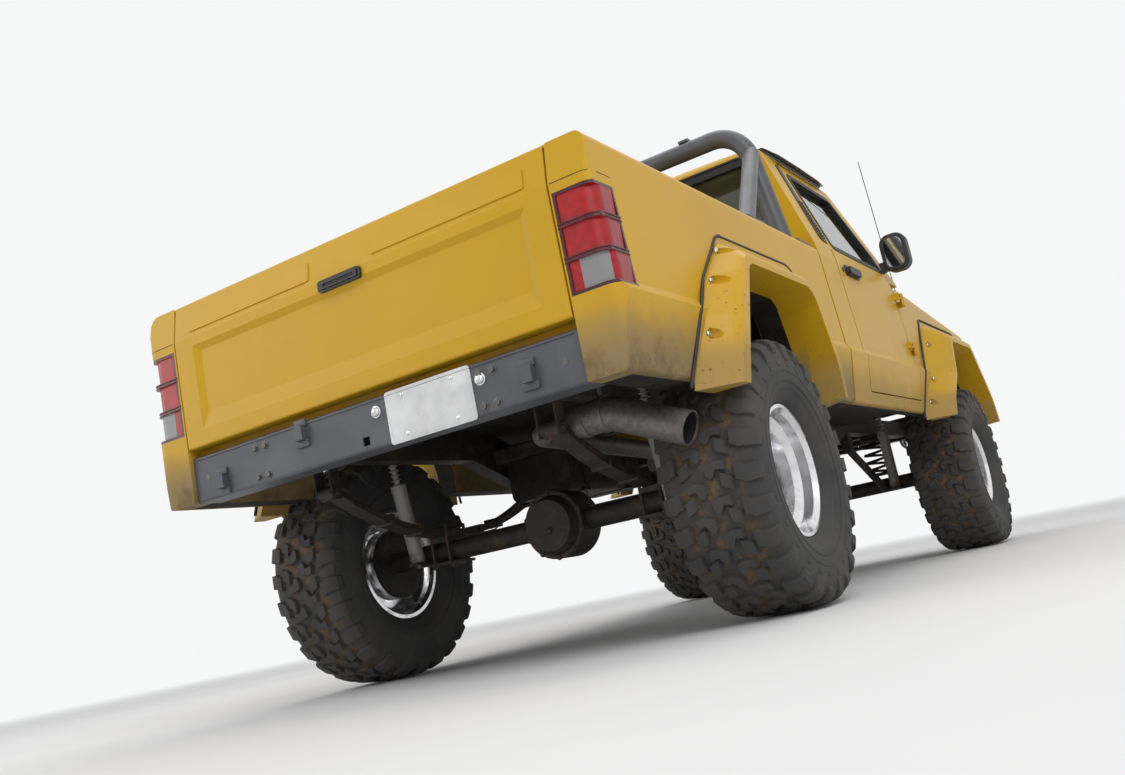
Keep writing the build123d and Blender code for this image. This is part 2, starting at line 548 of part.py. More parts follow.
# Left door: the wall of the cab inside the door outline, rebated at its rear edge
with BuildPart() as door_left:
    add(cab_outer.part)
    add(cab_inner.part, mode=Mode.SUBTRACT)
    with BuildSketch(Plane.YZ.offset(400)):
        fill(DOOR_OUTLINE)
    extrude(amount=600, mode=Mode.INTERSECT)
    with BuildSketch(Plane.YZ.offset(400)):
        fill(WINDOW_OUTLINE)
    extrude(amount=600, mode=Mode.SUBTRACT)
    with BuildSketch(Plane.XY.offset(DOOR_BOTTOM_Z - 5)):
        with Locations((CAB_INNER_HALF, DOOR_REAR_Y + 5)):
            Rectangle(500, DOOR_REAR_Y - DOOR_FRONT_Y + 10, align=(Align.MAX, Align.MAX))
    extrude(amount=CAB_FLOOR_Z - DOOR_BOTTOM_Z + 10, mode=Mode.SUBTRACT)
    with BuildSketch(Plane.XY.offset(DOOR_BOTTOM_Z - 5)):
        fill(((LEDGE_HALF, DOOR_REAR_Y + 5, 0), (LEDGE_HALF, DOOR_REAR_Y + 2, 0),
              (CAB_INNER_HALF - 20, DOOR_REAR_Y - DOOR_REBATE, 0), (CAB_INNER_HALF - 20, DOOR_REAR_Y + 5, 0)))
    extrude(amount=BELT_Z - DOOR_BOTTOM_Z + 5, mode=Mode.SUBTRACT)
    with BuildSketch(Plane.XY.offset(BELT_Z)):
        fill(((BELT_HALF, DOOR_REAR_Y + 5, 0), (BELT_HALF, DOOR_REAR_Y, 0),
              (BELT_HALF - 70, DOOR_REAR_Y - DOOR_REBATE, 0), (BELT_HALF - 70, DOOR_REAR_Y + 5, 0)))
    extrude(amount=560, dir=(ROOF_EDGE_HALF - BELT_HALF,
                             (DOOR_REAR_TOP_Y - DOOR_REAR_Y) * (ROOF_EDGE_Z - BELT_Z) / (DOOR_TOP_Z - BELT_Z),
                             ROOF_EDGE_Z - BELT_Z), mode=Mode.SUBTRACT)
    for z in HINGE_HEIGHTS:
        with BuildSketch(Plane.XY.offset(z + SEAT_GAP)):
            with Locations((DOOR_HINGE_X, DOOR_HINGE_Y)):
                Circle(HINGE_BARREL_RADIUS)
            with Locations((DOOR_HINGE_X - 4, DOOR_HINGE_Y + 2)):
                Rectangle(8, 40, align=(Align.CENTER, Align.MIN))
            with Locations((DOOR_HINGE_X - 4, DOOR_HINGE_Y + 30)):
                Rectangle(40, 12, align=(Align.MAX, Align.MIN))
            with Locations((DOOR_HINGE_X, DOOR_HINGE_Y)):
                Circle(HINGE_PIN_RADIUS + SEAT_GAP, mode=Mode.SUBTRACT)
        extrude(amount=HINGE_KNUCKLE_LENGTH)
save(door_left, "door_left")
save_mirrored(door_left, "door_right")

# Left door glass, parallel to the leaning side
with BuildPart() as door_glass_left:
    with BuildSketch(Plane.YZ.offset(400)):
        fill(WINDOW_OUTLINE)
    extrude(amount=600)
    with BuildSketch(Plane.XZ.offset(1000)):
        fill(((BELT_HALF - 26, BELT_Z, 0), (BELT_HALF - 20, BELT_Z, 0),
              (ROOF_EDGE_HALF - 20, ROOF_EDGE_Z, 0), (ROOF_EDGE_HALF - 26, ROOF_EDGE_Z, 0)))
    extrude(amount=-2000, mode=Mode.INTERSECT)
save(door_glass_left, "door_glass_left")
save_mirrored(door_glass_left, "door_glass_right")

# Left door trim: mirror on its foot, and the pull handle
with BuildPart() as mirror_head:
    with BuildSketch(Plane.XZ.offset(782)):
        with Locations((926, 1474)):
            RectangleRounded(128, 186, 50)
    extrude(amount=-80)
    fillet(mirror_head.edges().group_by(Axis.Y)[0], 24)
    fillet(mirror_head.edges().group_by(Axis.Y)[-1], 8)
    with BuildSketch(Plane.XZ.offset(742)):
        fill(((RAIL_HALF + 45, 1402, 0), (RAIL_HALF + 45, 1442, 0), (RAIL_HALF - 22, 1440, 0),
              (RAIL_HALF - 15, 1390, 0)))
    extrude(amount=-34)
with BuildPart() as door_trim_left:
    add(mirror_head.part)
    add(cab_outer.part, mode=Mode.SUBTRACT)
    with BuildSketch(Plane.YZ.offset(RAIL_HALF - 1)):
        with Locations((-75, 1290)):
            RectangleRounded(165, 30, 8)
    extrude(amount=24)
    add(cab_outer.part, mode=Mode.SUBTRACT)
save(door_trim_left, "door_trim_left")
save_mirrored(door_trim_left, "door_trim_right")

# Front fenders: side walls with arches, a shelf beside the hood and an inner apron
def fender_section(top_z):
    """Fill the left fender's section, its shelf level with the hood's edge at top_z."""
    fill(((FENDER_INNER_HALF, ROCKER_Z, 0),) + LEFT_HALF
         + ((RAIL_HALF, top_z, SHOULDER_RADIUS), (FENDER_SHELF_HALF, top_z, 0),
            (FENDER_SHELF_HALF, top_z - SHELF_THICKNESS, 0), (FENDER_INNER_HALF, top_z - SHELF_THICKNESS, 0)))


with BuildPart() as front_fenders:
    with BuildSketch(Plane.XZ.offset(-CAB_FRONT_Y)):
        fender_section(HOOD_REAR_Z)
    with BuildSketch(Plane.XZ.offset(-PANEL_FRONT_Y)):
        fender_section(HOOD_FRONT_Z)
    loft(ruled=True)
    with BuildSketch(Plane.XZ.offset(-FENDER_REAR_Y)):
        fender_section(HOOD_REAR_Z)
        with Locations((FENDER_INNER_HALF, RAIL_Z)):
            Rectangle(400, 400, align=(Align.MAX, Align.CENTER), mode=Mode.SUBTRACT)
    extrude(amount=FENDER_REAR_Y - CAB_FRONT_Y)
    with BuildSketch(Plane.YZ.offset(FENDER_SHELF_HALF)):
        fill(((CAB_FRONT_Y, HOOD_REAR_Z - SHELF_THICKNESS + 1, 0), (CAB_FRONT_Y, APRON_BOTTOM_Z, 0),
              (PANEL_FRONT_Y + PANEL_THICKNESS, APRON_BOTTOM_Z, 0),
              (PANEL_FRONT_Y + PANEL_THICKNESS, HOOD_FRONT_Z - SHELF_THICKNESS + 1, 0)))
    extrude(amount=APRON_THICKNESS)
    with BuildSketch(Plane.YZ.offset(FENDER_INNER_HALF - 20)):
        fill(about(FRONT_AXLE_Y, FRONT_OPENING))
    extrude(amount=300, mode=Mode.SUBTRACT)
    for z in HINGE_HEIGHTS:
        with BuildSketch(Plane.XY.offset(z - HINGE_KNUCKLE_LENGTH)):
            with Locations((DOOR_HINGE_X, DOOR_HINGE_Y)):
                Circle(HINGE_BARREL_RADIUS)
            with Locations((DOOR_HINGE_X - 4, DOOR_HINGE_Y - 2)):
                Rectangle(8, 40, align=(Align.CENTER, Align.MAX))
            with Locations((DOOR_HINGE_X, DOOR_HINGE_Y - 30)):
                Rectangle(40, 12, align=(Align.MAX, Align.MAX))
        extrude(amount=HINGE_KNUCKLE_LENGTH)
        with BuildSketch(Plane.XY.offset(z - 1)):
            with Locations((DOOR_HINGE_X, DOOR_HINGE_Y)):
                Circle(HINGE_PIN_RADIUS)
        extrude(amount=HINGE_KNUCKLE_LENGTH - 4)
    mirror(about=Plane.YZ)
save(front_fenders, "front_fenders")

# Hood: a crowned panel hinged at its rear edge
with BuildPart() as hood:
    for y, top_z in ((HOOD_REAR_Y, HOOD_REAR_Z), (HOOD_FRONT_Y, HOOD_FRONT_Z)):
        with BuildSketch(Plane.XZ.offset(-y)):
            fill(both_halves(((HOOD_HALF, top_z - HOOD_THICKNESS, 0), (HOOD_HALF, top_z, 6),
                              (HOOD_HALF - 190, top_z + HOOD_CROWN, 700))))
    loft(ruled=True)
    for side in (1, -1):
        with BuildSketch(Plane.YZ.offset(side * (HOOD_HINGE_HALF - HOOD_LUG_WIDTH))):
            with Locations((HOOD_HINGE_Y, HOOD_HINGE_Z)):
                Circle(HOOD_PIN_RADIUS + 2.5)
                Rectangle(12, 5, align=(Align.MAX, Align.CENTER))
                Circle(HOOD_PIN_RADIUS + SEAT_GAP, mode=Mode.SUBTRACT)
        extrude(amount=side * HOOD_LUG_WIDTH)
save(hood, "hood")

# Front panel: grille of level bars between two lamp openings
LAMP_X = 560.0
LAMP_Z = 1085.0
LAMP_WIDTH = 230.0
LAMP_HEIGHT = 150.0
GRILLE_HALF = 390.0
GRILLE_BOTTOM_Z = 900.0
GRILLE_TOP_Z = 1180.0
GRILLE_BARS = 6
with BuildPart() as front_panel:
    with BuildSketch(Plane.XZ.offset(-PANEL_FRONT_Y)):
        fill(both_halves(((FENDER_INNER_HALF, PANEL_BOTTOM_Z, 0),
                          (FENDER_INNER_HALF, HOOD_FRONT_Z - HOOD_THICKNESS - PANEL_GAP, 0))))
        with Locations((LAMP_X, LAMP_Z), (-LAMP_X, LAMP_Z)):
            RectangleRounded(LAMP_WIDTH, LAMP_HEIGHT, 12, mode=Mode.SUBTRACT)
        with Locations((0, (GRILLE_BOTTOM_Z + GRILLE_TOP_Z) / 2)):
            Rectangle(2 * GRILLE_HALF, GRILLE_TOP_Z - GRILLE_BOTTOM_Z, mode=Mode.SUBTRACT)
        pitch = (GRILLE_TOP_Z - GRILLE_BOTTOM_Z) / GRILLE_BARS
        with Locations([(0, GRILLE_BOTTOM_Z + pitch * (i + 0.5)) for i in range(GRILLE_BARS)]):
            Rectangle(2 * GRILLE_HALF + 10, pitch * 0.35)
    extrude(amount=-PANEL_THICKNESS)
    with BuildSketch(Plane.XY.offset(HOOD_FRONT_Z - HOOD_THICKNESS - PANEL_GAP)):
        with Locations((LAMP_X, PANEL_FRONT_Y + PANEL_THICKNESS / 2),
                       (-LAMP_X, PANEL_FRONT_Y + PANEL_THICKNESS / 2)):
            Circle(12)
    extrude(amount=HOOD_STOP_HEIGHT)
save(front_panel, "front_panel")

# Headlamps
with BuildPart() as headlamps:
    with BuildSketch(Plane.XZ.offset(-PANEL_FRONT_Y - 8)):
        with Locations((LAMP_X, LAMP_Z), (-LAMP_X, LAMP_Z)):
            RectangleRounded(LAMP_WIDTH, LAMP_HEIGHT, 12)
    extrude(amount=-24)
save(headlamps, "headlamps")

# Front bumper: a channel between the front flares
with BuildPart() as front_bumper:
    with BuildSketch(Plane.YZ.offset(-800)):
        fill(((FRONT_Y, 690, 12), (FRONT_Y, 820, 12), (FRONT_Y + 90, 820, 0), (FRONT_Y + 90, 812, 0),
              (FRONT_Y + 8, 812, 4), (FRONT_Y + 8, 698, 4), (FRONT_Y + 90, 698, 0), (FRONT_Y + 90, 690, 0)))
    extrude(amount=1600)
    with BuildSketch(Plane.XZ.offset(-FRONT_Y + 10)):
        with Locations((0, 755)):
            with GridLocations(PLATE_HOLE_PITCH_X, PLATE_HOLE_PITCH_Z, 2, 2):
                Circle(PLATE_HOLE_RADIUS)
    extrude(amount=-40, mode=Mode.SUBTRACT)
save(front_bumper, "front_bumper")

# Flares: from the seal on the body out to the crest round the opening
for name, axle_y, seal, crest, opening, pockets in (
    ("rear_flares", REAR_AXLE_Y, REAR_SEAL, REAR_CREST, REAR_OPENING, REAR_POCKETS),
    ("front_flares", FRONT_AXLE_Y, FRONT_SEAL, FRONT_CREST, FRONT_OPENING, FRONT_POCKETS),
):
    with BuildPart() as flares:
        with BuildSketch(Plane.YZ.offset(FLARE_ROOT)):
            fill(about(axle_y, seal))
        with BuildSketch(Plane.YZ.offset(FLARE_SHOULDER)):
            fill(about(axle_y, between(seal, crest, FLARE_SHOULDER_SHARE)))
        with BuildSketch(Plane.YZ.offset(FLARE_PROUD)):
            fill(about(axle_y, crest))
        loft(ruled=True)
        with BuildSketch(Plane.YZ.offset(RAIL_HALF - 60)):
            fill(about(axle_y, opening))
        extrude(amount=300, mode=Mode.SUBTRACT)
        with BuildSketch(Plane.XY.offset(FLARE_BOTTOM_Z)):
            with Locations((900, axle_y)):
                Rectangle(400, 2000)
        extrude(amount=800, mode=Mode.INTERSECT)
        with BuildSketch(Plane.XZ.offset(-axle_y - 1000)):
            fill(((700, FLARE_BOTTOM_Z - 20, 0), (ROCKER_HALF, FLARE_BOTTOM_Z - 20, 0),) + LEFT_HALF
                 + ((RAIL_HALF, RAIL_Z, RAIL_ROUND), (700, RAIL_Z, 0)))
        extrude(amount=2000, mode=Mode.SUBTRACT)
        for along, z in pockets:
            with BuildSketch(Plane.YZ.offset(side_at(z) + POCKET_FLOOR)):
                with Locations((axle_y + along, z)):
                    Circle(POCKET_RADIUS)
            extrude(amount=200, mode=Mode.SUBTRACT)
        mirror(about=Plane.YZ)
    save(flares, name)

# Roll bar: a hoop across the bed with a brace on each side, on the bed rails
BAR_RADIUS = 38.0
HOOP_Y = 448.0
HOOP_TOP_Z = 1888.0
HOOP_CORNER_X = 694.0
HOOP_FOOT_X = 768.0
BRACE_FOOT_X = 790.0
BRACE_FOOT_Y = HOOP_Y + 470
with BuildPart() as roll_bar:
    with BuildLine():
        FilletPolyline((-HOOP_FOOT_X, HOOP_Y, RAIL_Z + 8), (-HOOP_CORNER_X, HOOP_Y, HOOP_TOP_Z),
                       (HOOP_CORNER_X, HOOP_Y, HOOP_TOP_Z), (HOOP_FOOT_X, HOOP_Y, RAIL_Z + 8), radius=150)
    with BuildSketch(Plane(origin=(-HOOP_FOOT_X, HOOP_Y, RAIL_Z + 8),
                           z_dir=(HOOP_FOOT_X - HOOP_CORNER_X, 0, HOOP_TOP_Z - RAIL_Z - 8))):
        Circle(BAR_RADIUS)
    sweep()
    for side in (1, -1):
        with BuildSketch(Plane.XY.offset(RAIL_Z)):
            with Locations((side * (HOOP_FOOT_X + 24), HOOP_Y), (side * BRACE_FOOT_X, BRACE_FOOT_Y)):
                Rectangle(100, 120)
        extrude(amount=8)
        with BuildSketch(Plane(origin=(side * BRACE_FOOT_X, BRACE_FOOT_Y, RAIL_Z + 8),
                               z_dir=(-side * 70, -470, 430))):
            Circle(BAR_RADIUS * 0.85)
        extrude(amount=620)
    with BuildSketch(Plane.XY.offset(RAIL_Z)):
        Rectangle(4000, 6000)
    extrude(amount=-200, mode=Mode.SUBTRACT)
save(roll_bar, "roll_bar")

# Frame rails: plan and side view of each rail, with cross members between them
with BuildPart() as frame_rails:
    with BuildSketch(Plane.XY.offset(600)):
        fill(((FRONT_RAIL_X, FRAME_FRONT_Y, 0), (FRONT_RAIL_X + RAIL_WIDTH, FRAME_FRONT_Y, 0),
              (FRONT_RAIL_X + RAIL_WIDTH, -800, 0), (REAR_RAIL_X + RAIL_WIDTH, -300, 0),
              (REAR_RAIL_X + RAIL_WIDTH, FRAME_REAR_Y, 0), (REAR_RAIL_X, FRAME_REAR_Y, 0),
              (REAR_RAIL_X, -300, 0), (FRONT_RAIL_X, -800, 0)))
    extrude(amount=400)
    with BuildSketch(Plane.YZ):
        fill(((FRAME_FRONT_Y, FRONT_RAIL_BOTTOM_Z, 0), (FRAME_FRONT_Y, 790, 0), (-1100, 790, 60),
              (CAB_FRONT_Y - 5, FLOOR_UNDER_Z, 0),
              (700, FLOOR_UNDER_Z, 40), (1000, BED_FLOOR_Z, 80), (FRAME_REAR_Y, BED_FLOOR_Z, 0),
              (FRAME_REAR_Y, REAR_RAIL_BOTTOM_Z, 0), (1180, REAR_RAIL_BOTTOM_Z, 80),
              (860, MID_RAIL_BOTTOM_Z, 40), (-760, MID_RAIL_BOTTOM_Z, 40), (-960, FRONT_RAIL_BOTTOM_Z, 60)))
    extrude(amount=1000, mode=Mode.INTERSECT)
    mirror(about=Plane.YZ)
    for y, z, reach in CROSS_MEMBERS:
        with BuildSketch(Plane.YZ.offset(-reach)):
            with Locations((y, z)):
                RectangleRounded(70, 60, 10)
        extrude(amount=2 * reach)
save(frame_rails, "frame_rails")

# Axles
DIFF_X = 60.0
DIFF_RADIUS = 115.0
axle_parts = {}
for name, y, end_x, diff_x, cover, damper_x in (
    ("rear_axle", REAR_AXLE_Y, HUB_BACK_X - SEAT_GAP, -DIFF_X, 1, REAR_DAMPER_X),
    ("front_axle", FRONT_AXLE_Y, KINGPIN_X - 60, 180.0, -1, FRONT_DAMPER_X),
):
    with BuildPart() as axle:
        with BuildSketch(Plane.YZ.offset(-end_x)):
            with Locations((y, AXLE_Z)):
                Circle(AXLE_TUBE_RADIUS)
        extrude(amount=2 * end_x)
        with BuildSketch(Plane.XZ.offset(-y + 60)):
            with Locations((diff_x, AXLE_Z)):
                Circle(DIFF_RADIUS)
        extrude(amount=-120)
        with BuildSketch(Plane.XZ.offset(-y - cover * 60)):
            with Locations((diff_x, AXLE_Z)):
                Circle(DIFF_RADIUS - 10)
        extrude(amount=-cover * 40, taper=25)
        for side in (1, -1):
            with BuildSketch(Plane.XY.offset(DAMPER_FOOT_Z)):
                with Locations((side * damper_x, y)):
                    Rectangle(44, 80 + DAMPER_RADIUS, align=(Align.CENTER, Align.MIN))
            extrude(amount=-12)
        if name == "rear_axle":
            for side in (1, -1):
                with BuildSketch(Plane.YZ.offset(side * (end_x - 12))):
                    with Locations((y, AXLE_Z)):
                        Circle(130)
                extrude(amount=side * 12)
        else:
            for side in (1, -1):
                with BuildSketch(Plane.XZ.offset(-y + 30)):
                    fill(((side * (KINGPIN_X - 75), AXLE_Z - YOKE_HALF_HEIGHT - YOKE_ARM, 0),
                          (side * (KINGPIN_X + 24), AXLE_Z - YOKE_HALF_HEIGHT - YOKE_ARM, 8),
                          (side * (KINGPIN_X + 24), AXLE_Z - YOKE_HALF_HEIGHT, 0),
                          (side * YOKE_WEB_X, AXLE_Z - YOKE_HALF_HEIGHT, 0),
                          (side * YOKE_WEB_X, AXLE_Z + YOKE_HALF_HEIGHT, 0),
                          (side * (KINGPIN_X + 24), AXLE_Z + YOKE_HALF_HEIGHT, 0),
                          (side * (KINGPIN_X + 24), AXLE_Z + YOKE_HALF_HEIGHT + YOKE_ARM, 8),
                          (side * (KINGPIN_X - 75), AXLE_Z + YOKE_HALF_HEIGHT + YOKE_ARM, 0)))
                extrude(amount=-60)
                with BuildSketch(Plane.XY.offset(AXLE_Z - 200)):
                    with Locations((side * KINGPIN_X, y)):
                        Circle(KINGPIN_RADIUS + SEAT_GAP)
                extrude(amount=400, mode=Mode.SUBTRACT)
    axle_parts[name] = axle.part
    save(axle, name)

# Left knuckle: kingpin, spindle stub and the steering arm ahead of the axle
with BuildPart() as knuckle_left:
    with BuildSketch(Plane.XY.offset(AXLE_Z - YOKE_HALF_HEIGHT + SEAT_GAP)):
        with Locations((KINGPIN_X, FRONT_AXLE_Y)):
            Circle(KNUCKLE_RADIUS)
    extrude(amount=2 * (YOKE_HALF_HEIGHT - SEAT_GAP))
    with BuildSketch(Plane.XY.offset(AXLE_Z - YOKE_HALF_HEIGHT - YOKE_ARM)):
        with Locations((KINGPIN_X, FRONT_AXLE_Y)):
            Circle(KINGPIN_RADIUS)
    extrude(amount=2 * (YOKE_HALF_HEIGHT + YOKE_ARM))
    with BuildSketch(Plane.YZ.offset(KINGPIN_X)):
        with Locations((FRONT_AXLE_Y, AXLE_Z)):
            Circle(60)
    extrude(amount=HUB_BACK_X - SEAT_GAP - KINGPIN_X)
    with BuildSketch(Plane.XY.offset(TIE_ROD_Z - 34)):
        fill(((KINGPIN_X - 18, FRONT_AXLE_Y, 0), (KINGPIN_X + 18, FRONT_AXLE_Y, 0),
              (KINGPIN_X + TIE_EYE_RADIUS, FRONT_AXLE_Y - STEER_ARM - TIE_EYE_RADIUS, 15),
              (KINGPIN_X - TIE_EYE_RADIUS, FRONT_AXLE_Y - STEER_ARM - TIE_EYE_RADIUS, 15)))
    extrude(amount=34 - TIE_EYE_RADIUS - SEAT_GAP)
    with BuildSketch(Plane.XY.offset(TIE_ROD_Z - 20)):
        with Locations((KINGPIN_X, FRONT_AXLE_Y - STEER_ARM)):
            Circle(TIE_PIN_RADIUS)
    extrude(amount=20 + TIE_EYE_RADIUS)
save(knuckle_left, "knuckle_left")
save_mirrored(knuckle_left, "knuckle_right")

# Tie rod between the two steering arms
with BuildPart() as tie_rod:
    with BuildSketch(Plane.YZ.offset(-KINGPIN_X)):
        with Locations((FRONT_AXLE_Y - STEER_ARM, TIE_ROD_Z)):
            Circle(TIE_ROD_RADIUS)
    extrude(amount=2 * KINGPIN_X)
    with BuildSketch(Plane.XY.offset(TIE_ROD_Z - TIE_EYE_RADIUS)):
        with Locations((KINGPIN_X, FRONT_AXLE_Y - STEER_ARM), (-KINGPIN_X, FRONT_AXLE_Y - STEER_ARM)):
            Circle(TIE_EYE_RADIUS)
    extrude(amount=2 * TIE_EYE_RADIUS)
    with BuildSketch(Plane.XY.offset(TIE_ROD_Z - 2 * TIE_EYE_RADIUS)):
        with Locations((KINGPIN_X, FRONT_AXLE_Y - STEER_ARM), (-KINGPIN_X, FRONT_AXLE_Y - STEER_ARM)):
            Circle(TIE_PIN_RADIUS + SEAT_GAP)
    extrude(amount=4 * TIE_EYE_RADIUS, mode=Mode.SUBTRACT)
save(tie_rod, "tie_rod")

# Wheel blanks about the X axis, outward +X
with BuildPart() as tyre_lug:
    with BuildSketch(Plane.XY.offset(LUG_ROOT_RADIUS)):
        fill(((LUG_INNER_X, -24, 0), (LUG_OUTER_X, -31, 0), (LUG_OUTER_X, 20, 0), (LUG_INNER_X + 12, 22, 0)))
    extrude(amount=LUG_TOP_RADIUS - LUG_ROOT_RADIUS)
with BuildPart() as tyre_blank:
    for x, radius in [(-x, radius) for x, radius in TYRE_SECTIONS] + list(reversed(TYRE_SECTIONS)):
        with BuildSketch(Plane.YZ.offset(x)):
            RegularPolygon(radius, LUG_COUNT, rotation=FACET_TURN)
    loft(ruled=True)
    for side in (1, -1):
        with BuildSketch(Plane.YZ.offset(side * TYRE_HALF_WIDTH)):
            RegularPolygon(SIDEWALL_FOOT_RADIUS, LUG_COUNT, rotation=FACET_TURN)
        with BuildSketch(Plane.YZ.offset(side * BEAD_FACE_X)):
            RegularPolygon(FLANGE_RADIUS + 8, LUG_COUNT, rotation=FACET_TURN)
        loft(ruled=True, mode=Mode.SUBTRACT)
    with BuildSketch(Plane.YZ.offset(-TYRE_HALF_WIDTH)):
        RegularPolygon(FLANGE_RADIUS + SEAT_GAP, LUG_COUNT, major_radius=False, rotation=FACET_TURN)
    extrude(amount=2 * TYRE_HALF_WIDTH, mode=Mode.SUBTRACT)
    with Locations([Location((0, 0, 0), (360 / LUG_COUNT * i, 0, 0)) for i in range(LUG_COUNT)]):
        add(tyre_lug.part)
    with Locations([Location((0, 0, 0), (360 / LUG_COUNT * (i + 0.5), 0, 180)) for i in range(LUG_COUNT)]):
        add(tyre_lug.part)
with BuildPart() as rim_blank:
    with BuildSketch(Plane.XY):
        fill(((-RIM_HALF_WIDTH, BEAD_RADIUS + 4, 0), (-RIM_HALF_WIDTH, FLANGE_RADIUS, 0),
              (-BEAD_HALF_WIDTH, FLANGE_RADIUS, 0), (-BEAD_HALF_WIDTH, BEAD_RADIUS, 0), (-70, BEAD_RADIUS, 0),
              (-50, BARREL_RADIUS + BARREL_WALL, 0), (40, BARREL_RADIUS + BARREL_WALL, 0),
              (62, BEAD_RADIUS, 0), (BEAD_HALF_WIDTH, BEAD_RADIUS, 0), (BEAD_HALF_WIDTH, FLANGE_RADIUS, 0),
              (RIM_HALF_WIDTH, FLANGE_RADIUS, 0), (RIM_HALF_WIDTH, BEAD_RADIUS + 6, 0),
              (RIM_HALF_WIDTH - 16, BEAD_RADIUS - 7, 0), (66, BEAD_RADIUS - 7, 0), (46, BARREL_RADIUS, 0),
              (-54, BARREL_RADIUS, 0), (-74, BEAD_RADIUS - 7, 0), (-RIM_HALF_WIDTH + 12, BEAD_RADIUS - 7, 0)))
    revolve(axis=Axis.X)
    with BuildSketch(Plane.YZ.offset(-MOUNT_FACE_INSET)):
        Circle(BARREL_RADIUS + 2)
        with PolarLocations(WINDOW_CIRCLE, WINDOW_COUNT):
            Circle(WINDOW_RADIUS, mode=Mode.SUBTRACT)
    extrude(amount=DISC_THICKNESS)
    with BuildSketch(Plane.YZ.offset(-MOUNT_FACE_INSET)):
        Circle(HUB_CAP_RADIUS)
    extrude(amount=HUB_CAP_LENGTH)
for corner, y, side in (("front_left", FRONT_AXLE_Y, 1), ("front_right", FRONT_AXLE_Y, -1),
                        ("rear_left", REAR_AXLE_Y, 1), ("rear_right", REAR_AXLE_Y, -1)):
    turn = 0 if side == 1 else 180
    place = Location((side * WHEEL_X, y, AXLE_Z), (0, 0, turn))
    with BuildPart() as tyre:
        add(tyre_blank.part.moved(place))
    save(tyre, f"tyre_{corner}")
    disc_radius, disc_thickness = (ROTOR_RADIUS, ROTOR_THICKNESS) if y == FRONT_AXLE_Y else (130, 52)
    with BuildPart() as wheel:
        add(rim_blank.part.moved(place))
        with BuildSketch(Plane.YZ.offset(side * HUB_BACK_X)):
            with Locations((y, AXLE_Z)):
                Circle(disc_radius)
        extrude(amount=side * disc_thickness)
        with BuildSketch(Plane.YZ.offset(side * HUB_BACK_X)):
            with Locations((y, AXLE_Z)):
                Circle(HUB_RADIUS)
        extrude(amount=side * (WHEEL_X - MOUNT_FACE_INSET - HUB_BACK_X + 1))
    save(wheel, f"rim_{corner}")

# Rear leaf springs with their eyes, hangers and shackles
with BuildPart() as leaf_springs:
    with BuildSketch(Plane.YZ.offset(SPRING_X - SPRING_WIDTH / 2)):
        with BuildLine():
            lower = ThreePointArc(SPRING_FRONT, (REAR_AXLE_Y, SPRING_PERCH_Z), SPRING_REAR)
            upper = ThreePointArc((SPRING_FRONT[0], SPRING_FRONT[1] + 8),
                                  (REAR_AXLE_Y, SPRING_PERCH_Z + SPRING_THICKNESS),
                                  (SPRING_REAR[0], SPRING_REAR[1] + 8))
            Line(lower @ 0, upper @ 0)
            Line(lower @ 1, upper @ 1)
        make_face()
    extrude(amount=SPRING_WIDTH)
    for eye, top_z in ((SPRING_FRONT, MID_RAIL_BOTTOM_Z), (SPRING_REAR, REAR_RAIL_BOTTOM_Z)):
        with BuildSketch(Plane.YZ.offset(SPRING_X - SPRING_WIDTH / 2)):
            with Locations(eye):
                Circle(SPRING_EYE_RADIUS)
        extrude(amount=SPRING_WIDTH)
        for x in (SPRING_X - SPRING_WIDTH / 2 - 6, SPRING_X + SPRING_WIDTH / 2):
            with BuildSketch(Plane.YZ.offset(x)):
                with Locations((eye[0], eye[1] - SPRING_EYE_RADIUS)):
                    Rectangle(44, top_z - eye[1] + SPRING_EYE_RADIUS, align=(Align.CENTER, Align.MIN))
            extrude(amount=6)
    mirror(about=Plane.YZ)
save(leaf_springs, "leaf_springs")

# Front coil springs, drawn as the sleeve that the coils fill
COIL_BOTTOM_Z = AXLE_Z + AXLE_TUBE_RADIUS + 20
with BuildPart() as coil_springs:
    with BuildSketch(Plane.XY.offset(COIL_BOTTOM_Z)):
        with Locations((COIL_X, FRONT_AXLE_Y), (-COIL_X, FRONT_AXLE_Y)):
            Circle(COIL_RADIUS)
            Circle(COIL_RADIUS - 14, mode=Mode.SUBTRACT)
    extrude(amount=FRONT_RAIL_BOTTOM_Z - COIL_BOTTOM_Z)
save(coil_springs, "coil_springs")

# Dampers: body below, rod above. Each row: foot, head and where the body ends along the way
DAMPERS = (((REAR_DAMPER_X, REAR_AXLE_Y + 80, DAMPER_FOOT_Z),
            (REAR_DAMPER_X, REAR_AXLE_Y + 150, BED_FLOOR_Z), 0.62),
           ((FRONT_DAMPER_X, FRONT_AXLE_Y + 80, DAMPER_FOOT_Z),
            (FRONT_DAMPER_X, FRONT_AXLE_Y + 80, APRON_BOTTOM_Z), 0.62))
with BuildPart() as shocks:
    for foot, head, share in DAMPERS:
        axis = Vector(head) - Vector(foot)
        with BuildSketch(Plane(origin=foot, z_dir=axis)):
            Circle(DAMPER_RADIUS)
        extrude(amount=axis.length * share)
        with BuildSketch(Plane(origin=foot, z_dir=axis)):
            Circle(DAMPER_ROD_RADIUS)
        extrude(amount=axis.length)
    with BuildSketch(Plane.XY.offset(BED_FLOOR_Z)):
        with Locations((REAR_DAMPER_X, REAR_AXLE_Y + 150)):
            Rectangle(100, 100)
    extrude(amount=60, mode=Mode.SUBTRACT)
    for part in axle_parts.values():
        add(part, mode=Mode.SUBTRACT)
    mirror(about=Plane.YZ)
save(shocks, "shocks")

